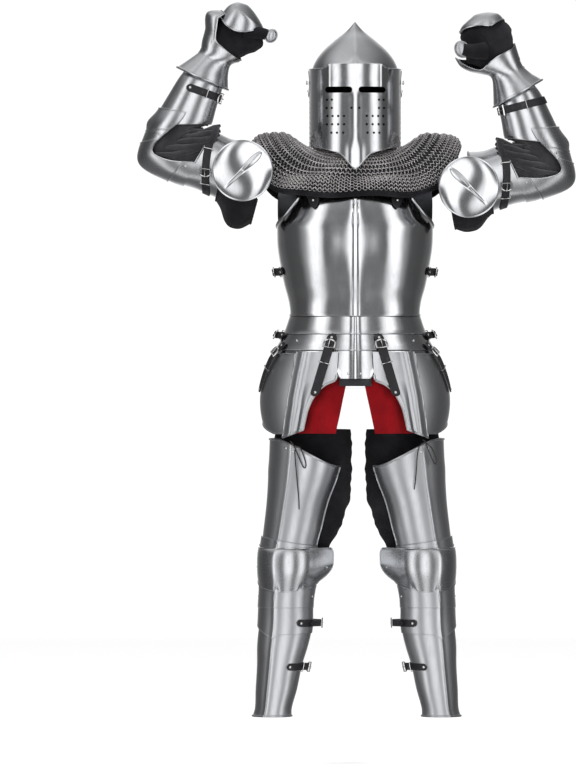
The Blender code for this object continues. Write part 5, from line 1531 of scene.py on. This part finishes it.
COP_DOME, COP_MIDDLE, COP_DENTS = 0.0130, 6, (-27, 22)      # the last two in degrees
FLAP_TIP, FLAP_ANGLE = 0.333, 26
OVER_FLAP = 0.0054
FLAP_OUTER, FLAP_INNER = 0.369, 0.347     # the flap's foot at its outer and inner end
GREAVE_TOP, GREAVE_FOOT, SHIN_RIDGE = 0.442, 0.134, 0.004
PADDING = Track((  # height, inner_edge, outer_inset, front, back
    (0.867, 0.016, 0.014, 0.036, 0.094), (0.815, 0.014, 0.010, 0.030, 0.090),
    (0.694, 0.018, 0.010, 0.030, 0.086), (0.650, 0.032, 0.010, 0.030, 0.082),
    (0.600, 0.050, 0.010, 0.030, 0.076),
    (0.565, 0.071, 0.010, 0.018, 0.070), (0.530, 0.083, 0.010, 0.022, 0.066),
    (0.490, 0.092, 0.010, 0.036, 0.062), (0.455, 0.1125, 0.010, 0.050, 0.056),
    (0.425, 0.1140, 0.010, 0.050, 0.056)))
PADDING_SPREAD = {"right": -0.006, "left": 0.003}


def leg_points(name, height, turns, lift=0.0, ridge=0.0):
    """Points round a leg; height may differ from point to point."""
    turns = np.asarray(turns, float)
    heights = np.broadcast_to(np.asarray(height, float), turns.shape)
    out, half, front, back = LEG(heights).T
    turn = np.radians(turns)
    forward = (np.where(np.cos(turn) > 0, front, back) + lift) * np.cos(turn)
    forward += ridge * np.exp(-np.abs((turns - LEG_TURN) / 5.0) ** 1.4)
    across = out + LEG_SPREAD[name] + (half + lift) * np.sin(turn)
    return np.stack((SIDES[name] * across, -forward, heights), -1)


def leg_core(name, height):
    return np.array((SIDES[name] * (LEG(height)[0] + LEG_SPREAD[name]), 0, height))


def cuisse(name):
    """The thigh plate with its rolled edges and the eyelets of the lace."""
    shape, turns = Shape(), np.linspace(*CUISSE_SPAN, 80)
    tops = blend(*CUISSE_TOP, smooth(turns, -60, 60))
    rows, cores = [], []
    for share in np.linspace(0, 1, 40):
        rows.append(leg_points(name, blend(tops, CUISSE_FOOT, share), turns, 0.0, 0.0032))
        cores.append(leg_core(name, blend(CUISSE_TOP[1], CUISSE_FOOT, share)))
    rows = np.array(rows)
    shape.sheet(rows, cores)
    shape.tube(rows[0], 0.0030)
    for side in (0, -1):
        shape.tube(rows[:, side], 0.0020, sides=7)
    for turn in CUISSE_EYELETS:
        height = blend(*CUISSE_TOP, smooth(turn, -60, 60)) - 0.014
        place = leg_points(name, height, [turn], 0.0006)[0]
        shape.rivet(place, place - leg_core(name, height), 0.0034, finish=1)
    dress(shape, "thigh_plate_" + name, (STEEL_SATIN, TRIM), ("cuisse_" + name,))


def flap_foot(turns):
    """The flap's lower edge: a point at the outer side, then nearly level to the inner side."""
    outer = np.clip((turns - FLAP_ANGLE) / 68, 0, 1) ** 0.9
    inner = np.clip((FLAP_ANGLE - turns) / 100, 0, 1)
    level = blend(FLAP_INNER - 0.005, FLAP_INNER, inner)
    point = np.exp(-(inner * 100 / 9) ** 2)
    return np.where(turns > FLAP_ANGLE, blend(FLAP_TIP, FLAP_OUTER, outer),
                    blend(level, FLAP_TIP, point))


def poleyn_row(name, part, share, height, lift):
    """One row of points across a lame, the flap or the cop."""
    start, stop, wing = POLEYN(height)
    turns = np.linspace(start, stop, POLEYN_COUNT)
    heights = np.full(POLEYN_COUNT, height)
    from_middle = np.abs(turns - COP_MIDDLE)
    if part == "flap":
        heights = blend(POLEYN_LAMES[0][1], flap_foot(turns), share)
    elif part == "above":
        heights -= 0.024 * smooth(-turns, -100, 66) * (1 - share)
    elif part == "cop":
        # the foot hangs lowest in the middle and is drawn up into two small dents
        hang = 0.030 * (from_middle / 95) ** 2 - 0.011
        dents = sum(np.exp(-((turns - at) / 4.0) ** 2) for at in COP_DENTS)
        heights += hang * share ** 3 + 0.0060 * dents * smooth(share, 0.78, 1.0)
    if part != "cop":
        return leg_points(name, heights, turns, lift, SHIN_RIDGE)
    row = leg_points(name, heights, turns, lift, SHIN_RIDGE * 0.3)
    bulge = COP_DOME * math.sin(math.pi * share ** 0.72) ** 0.8
    bulge = bulge * np.exp(-(from_middle / 68.0) ** 3)
    row += unit((row - leg_core(name, height)) * (1, 1, 0)) * bulge[:, None]
    reach = np.clip((start + 50 - turns) / 50, 0, 1) ** 1.6
    row[:, 0] -= SIDES[name] * wing * reach
    row[:, 1] -= wing * 0.48 * reach
    return row


def poleyn(name):
    """The knee cop with its wing, over its lames and the pointed flap below."""
    shape = Shape()
    for part, top, foot, near, far in POLEYN_LAMES:
        shares = np.linspace(0, 1, 38 if part == "cop" else 15)
        heights = blend(top, foot, shares)
        rows = np.array([poleyn_row(name, part, share, height, blend(near, far, share))
                         for share, height in zip(shares, heights)])
        cores = [leg_core(name, height) for height in heights]
        finish, roll = (0, 0.0014) if part == "cop" else (2, 0.0009)
        shape.sheet(rows, cores, 0.0016, finish=finish)
        edge = np.concatenate((rows[::-1, 0], rows[0, 1:], rows[1:, -1], rows[-1, -2::-1]))
        shape.tube(edge, roll, closed=True, sides=7, finish=finish)
        middle = len(rows) // 2
        for k in POLEYN_RIVETS if part != "flap" else ():
            shape.rivet(rows[middle, k], rows[middle, k] - cores[middle], 0.0032, finish=1)
    dress(shape, "knee_cop_" + name, (STEEL_ARM, TRIM, STEEL_SATIN), ("poleyn_" + name,))


def greave(name):
    """The shin plate with its ridge, and a fine seam at the inner side."""
    shape = Shape()
    turns = np.concatenate((np.linspace(-180, 6, 48), np.linspace(9, 43, 24),
                            np.linspace(46, 177, 34)))
    seam = np.exp(-((turns + 64) / 1.6) ** 2)
    relief = 0.0012 * smooth(turns, -66, -63) * smooth(-turns, 0, 30) - 0.0008 * seam
    rows, cores = [], []
    for height in np.linspace(GREAVE_TOP, GREAVE_FOOT, 42):
        row, core = leg_points(name, height, turns, 0.0, SHIN_RIDGE), leg_core(name, height)
        rows.append(row + unit(row - core) * relief[:, None])
        cores.append(core)
    shape.sheet(rows, cores, closed=True)
    shape.tube(rows[0], 0.0018, closed=True, sides=7)
    shape.tube(rows[-1], 0.0030, closed=True)
    dress(shape, "shin_plate_" + name, (STEEL_SATIN,), ("greave_" + name,))


def padding(name):
    """The quilted leg of the arming hose, with its wrinkles at the crotch and the knee."""
    sign, spread = SIDES[name], LEG_SPREAD[name]
    shape, turns = Shape(), np.linspace(-180, 180, 97)[:-1]
    turn = np.radians(turns)
    inward = smooth(-np.sin(turn), 0.15, 0.8)
    rows, cores = [], []
    for height in np.linspace(0.867, 0.425, 70):
        inner, inset, front, back = PADDING(height)
        outer = LEG(height)[:2].sum() + spread - inset
        inner += spread + PADDING_SPREAD[name] * np.clip((height - 0.47) / 0.15, 0, 1)
        core = np.array((sign * (outer + inner) / 2, 0.004, height))
        row = section(core, RIGHTWARD * sign, (outer - inner) / 2, front, back - 0.010, turns)
        wave = np.sin(height * 210 + turn * 2 + np.sin(height * 60))
        wave = 0.6 * (wave + np.sin(height * 95 - turn * 3))
        rows.append(row + unit(row - core) * (0.0017 * wave * inward)[:, None])
        cores.append(core)
    shape.sheet(rows, cores, CLOTH, closed=True)
    piece = dress(shape, "quilted_hose_" + name, (BLACK,), ("leg_padding_" + name,), sharp=70)


LACE_RADIUS = 0.0016
LACES = {  # from the eyelet at the cuisse's top, round one loop, to the free end
    "right": ((-0.166, -0.1010, 0.838), (-0.160, -0.1065, 0.832), (-0.150, -0.1085, 0.812),
              (-0.140, -0.1090, 0.788), (-0.133, -0.1090, 0.773), (-0.127, -0.1090, 0.771),
              (-0.126, -0.1095, 0.781), (-0.132, -0.1110, 0.802), (-0.140, -0.1125, 0.820),
              (-0.149, -0.1125, 0.824), (-0.154, -0.1110, 0.812), (-0.152, -0.1090, 0.780),
              (-0.148, -0.1050, 0.735), (-0.144, -0.1010, 0.690), (-0.143, -0.0990, 0.664)),
    "left": ((0.172, -0.1010, 0.842), (0.178, -0.1045, 0.836), (0.188, -0.1010, 0.812),
             (0.197, -0.0950, 0.790), (0.204, -0.0900, 0.780), (0.207, -0.0890, 0.789),
             (0.201, -0.0980, 0.809), (0.190, -0.1080, 0.826), (0.176, -0.1130, 0.834),
             (0.163, -0.1140, 0.824), (0.158, -0.1130, 0.800), (0.156, -0.1110, 0.770),
             (0.153, -0.1080, 0.735), (0.150, -0.1060, 0.715))}


def smooth_route(points, steps):
    """Points along a smooth curve through the route's own points."""
    route = np.array(points, float)
    ends = np.vstack((route[0] * 2 - route[1], route, route[-1] * 2 - route[-2]))
    t = (np.arange(steps) / steps)[:, None]
    made = [0.5 * (2 * b + (c - a) * t + (2 * a - 5 * b + 4 * c - d) * t * t
                   + (3 * b - a - 3 * c + d) * t * t * t)
            for a, b, c, d in zip(ends, ends[1:], ends[2:], ends[3:])]
    return np.vstack((*made, route[-1:]))


def lace(name):
    route = smooth_route(LACES[name], 6)
    shape = Shape()
    shape.tube(route, LACE_RADIUS)
    piece = dress(shape, "tied_lace_" + name, (LACE,), ("lace_" + name,))


for wearer_side in SIDES:
    cuisse(wearer_side)
    poleyn(wearer_side)
    greave(wearer_side)
    padding(wearer_side)
    lace(wearer_side)


# ================================================================ straps and buckles

STRAP_HALF, BUCKLE_BUMP = 0.0125, 0.0100


def leather(shape, path, across, half, start="plain", stop="plain", core=None):
    """A strap along a path, with round or pointed ends; gives back its outward vectors."""
    path, across = np.asarray(path, float), unit(np.asarray(across, float))
    out = unit(np.cross(unit(np.gradient(path, axis=0)), across))
    # outward is away from the core, or from the suit's own axis
    away = (path - (0, 0.3, 0)) * (1, 1, 0) if core is None else path - core
    out *= np.where(np.sum(out * away, 1) < 0, -1, 1)[:, None]
    along = np.concatenate(([0], np.cumsum(np.linalg.norm(np.diff(path, axis=0), axis=1))))
    width = np.full(len(path), half)
    for kind, gap in ((start, along), (stop, along[-1] - along)):
        if kind == "round":
            near = np.clip(gap / half, 0, 1)
            width *= np.maximum(np.sqrt(1 - (1 - near) ** 2), 0.15)
        elif kind == "point":
            width *= np.maximum(np.clip(gap / (2.6 * half), 0, 1) ** 0.75, 0.10)
    shape.strip(path, across * width[:, None], out, LEATHER)
    return out


def fittings(shape, path, out, width, buckle, keepers=(), rivets=()):
    """A buckle (its share along the strap and its way), keepers and rivets at shares along it."""
    tangent = np.gradient(path, axis=0)

    def at(share):
        k = int(round(share * (len(path) - 1)))
        return path[k] + out[k] * LEATHER, tangent[k], out[k]
    place, along, away = at(buckle[0])
    shape.buckle(place + away * 0.0022, along * buckle[1], away, width, finish=1)
    for share in keepers:
        place, along, away = at(share)
        shape.keeper(place - away * LEATHER, along, away, width * 1.06, finish=1, height=0.0052)
    for share in rivets:
        place, along, away = at(share)
        shape.rivet(place, away, 0.0036, finish=1)


TASSET_STRAPS = (  # label, kind of places, step beside, heights, places, lifts, where it steps
    # down and over what height, half width, buckle, keeper, first rivet
    ("front", "across", 0.01, (1.113, 0.953), (0.057, 0.105), (0.0042, 0.0114), (1.086, 0.022),
     STRAP_HALF, 0.20, 0.46, 0.07),
    ("side", "turns", 3, (1.090, 0.962), (65.0, 84.0), (0.0050, 0.0128), (1.080, 0.030),
     STRAP_HALF * 0.92, 0.22, 0.52, 0.06))


def tasset_straps(name):
    """Straps from the fauld down over the tassets, their upper ends pointing up at the buckle."""
    shares = np.linspace(0, 1, 48)
    for (label, kind, step, ends, places, lifts, (bend, over), half, buckle, keeper,
         rivet) in TASSET_STRAPS:
        heights, places = blend(*ends, shares), SIDES[name] * blend(*places, shares)
        lift = blend(*lifts, smooth(bend - heights, 0, over))[:, None]
        path, beside = (skirt_point(heights, lift=lift, **{kind: places + side})
                        for side in (0, step))
        shape = Shape()
        out = leather(shape, path, beside - path, half, "round", "round")
        fittings(shape, path, out, 0.024, (buckle, -1), (keeper,), (rivet, 0.93))
        dress(shape, label + "_tasset_strap_" + name, (LEATHER_FINISH, TRIM),
              ("tasset_" + label + "_strap_" + name,))


def girth_straps(name):
    """Straps round the side that hold the front to the back, buckled at the seam."""
    turns, tail = np.linspace(74, 120, 46), slice(16, 34)
    lifts = 0.0036 + BUCKLE_BUMP * np.exp(-((turns - 91) / 7.5) ** 2)
    for label, height, half in (("chest", 1.270, 0.0100), ("hip", 1.108, 0.0090)):
        rows = []
        for level in (height - 0.004, height, height + 0.004):
            if label == "chest":
                row = np.array([torso_point(level, [t], l)[0] for t, l in zip(turns, lifts)])
            else:
                row = skirt_point(level, turns, lift=lifts[:, None] + 0.0012)
            rows.append(row * (SIDES[name], 1, 1))
        shape, path, across = Shape(), rows[1], rows[2] - rows[0]
        out = leather(shape, path, across, half, "round", "plain")
        fittings(shape, path, out, 0.021, (0.37, -1), (0.62,), (0.08,))
        # the free end goes back through the buckle
        over = path[tail] + out[tail] * np.linspace(0.0075, 0.0035, 18)[:, None]
        leather(shape, over, across[tail], half * 0.9, "plain", "point")
        dress(shape, label + "_side_strap_" + name, (LEATHER_FINISH, TRIM),
              (label + "_strap_" + name,))


def limb_strap(label, name, node, at, turns, half, buckle, bump, keepers=(), tail=0.0,
               ends=("plain", "plain"), rivets=()):
    """A strap round an arm or a leg; at gives a point for an angle, a lift and a step along."""
    under = turns[int(buckle * (len(turns) - 1))]
    lifts = 0.0016 + bump * np.exp(-((turns - under) / 9.0) ** 2)
    path = np.array([at(t, l, 0) for t, l in zip(turns, lifts)])
    across = np.array([at(t, l, 1) - at(t, l, -1) for t, l in zip(turns, lifts)])
    middle = (at(180.0, 0, 0) + at(0.0, 0, 0)) / 2
    core = path.mean(0) * (0.2, 0.2, 1) + middle * (0.8, 0.8, 0)
    shape = Shape()
    out = leather(shape, path, across, half, *ends, core=core)
    fittings(shape, path, out, half * 2.15, (buckle, 1), keepers, rivets)
    if tail:
        # the free end beyond the buckle, standing off a little at its tip
        shares = np.linspace(0, 1, 22)
        angles = under - shares * tail * np.sign(turns[1] - turns[0])
        last = np.array([at(t, 0.0066, 0) for t in angles])
        across = np.array([at(t, 0.0066, 1) - at(t, 0.0066, -1) for t in angles])
        rise = bump * 0.5 * (1 - shares) + 0.006 * shares ** 4
        leather(shape, last + unit(last - core) * rise[:, None], across, half * 0.92, "plain",
                "point", core=core)
    dress(shape, label + name, (LEATHER_FINISH, TRIM), (node + name,))


def on_arm(name, row, reach, slant=0.0):
    """Gives a strap's points round an arm; slant draws it along the arm on one side."""
    def at(turn, lift, step):
        level = row + step * reach - slant * math.sin(math.radians(turn))
        return arm(name, level, [turn], lift)[0][0]
    return at


def on_leg(name, height, reach, over=0.0):
    """Gives a strap's points round a leg, over whatever lies between it and the leg's plates."""
    def at(turn, lift, step):
        return leg_points(name, height + step * reach, [turn], lift + over)[0]
    return at


def limb_straps(name):
    limb_strap("upper_arm_strap_", name, "arm_strap_", on_arm(name, 2.10, 0.1, 0.5),
               np.linspace(-112, 112, 80), 0.0102, 0.58, 0.0030, keepers=(0.70, 0.40))
    if name == "right":
        limb_strap("forearm_strap_", name, "wrist_strap_", on_arm(name, 8.55, 0.1),
                   np.linspace(-112, 28, 60), 0.0098, 0.30, 0.0030, keepers=(0.62,),
                   ends=("plain", "round"), rivets=(0.94,))
    else:
        limb_strap("forearm_strap_", name, "wrist_strap_", on_arm(name, 8.55, 0.1),
                   np.linspace(112, -112, 80), 0.0098, 0.72, 0.0030, keepers=(0.46,),
                   ends=("point", "plain"))
    limb_strap("calf_side_strap_", name, "calf_strap_", on_leg(name, 0.372, 0.004, OVER_FLAP),
               np.linspace(-24, -135, 60), 0.0092, 0.60, 0.0135, tail=42.0,
               ends=("round", "plain"), rivets=(0.06,))
    limb_strap("ankle_side_strap_", name, "ankle_strap_", on_leg(name, 0.260, 0.004),
               np.linspace(-19, -135, 60), 0.0092, 0.62, 0.0135, keepers=(0.48,), tail=24.0,
               ends=("round", "plain"), rivets=(0.06,))


for wearer_side in SIDES:
    tasset_straps(wearer_side)
    girth_straps(wearer_side)
    limb_straps(wearer_side)
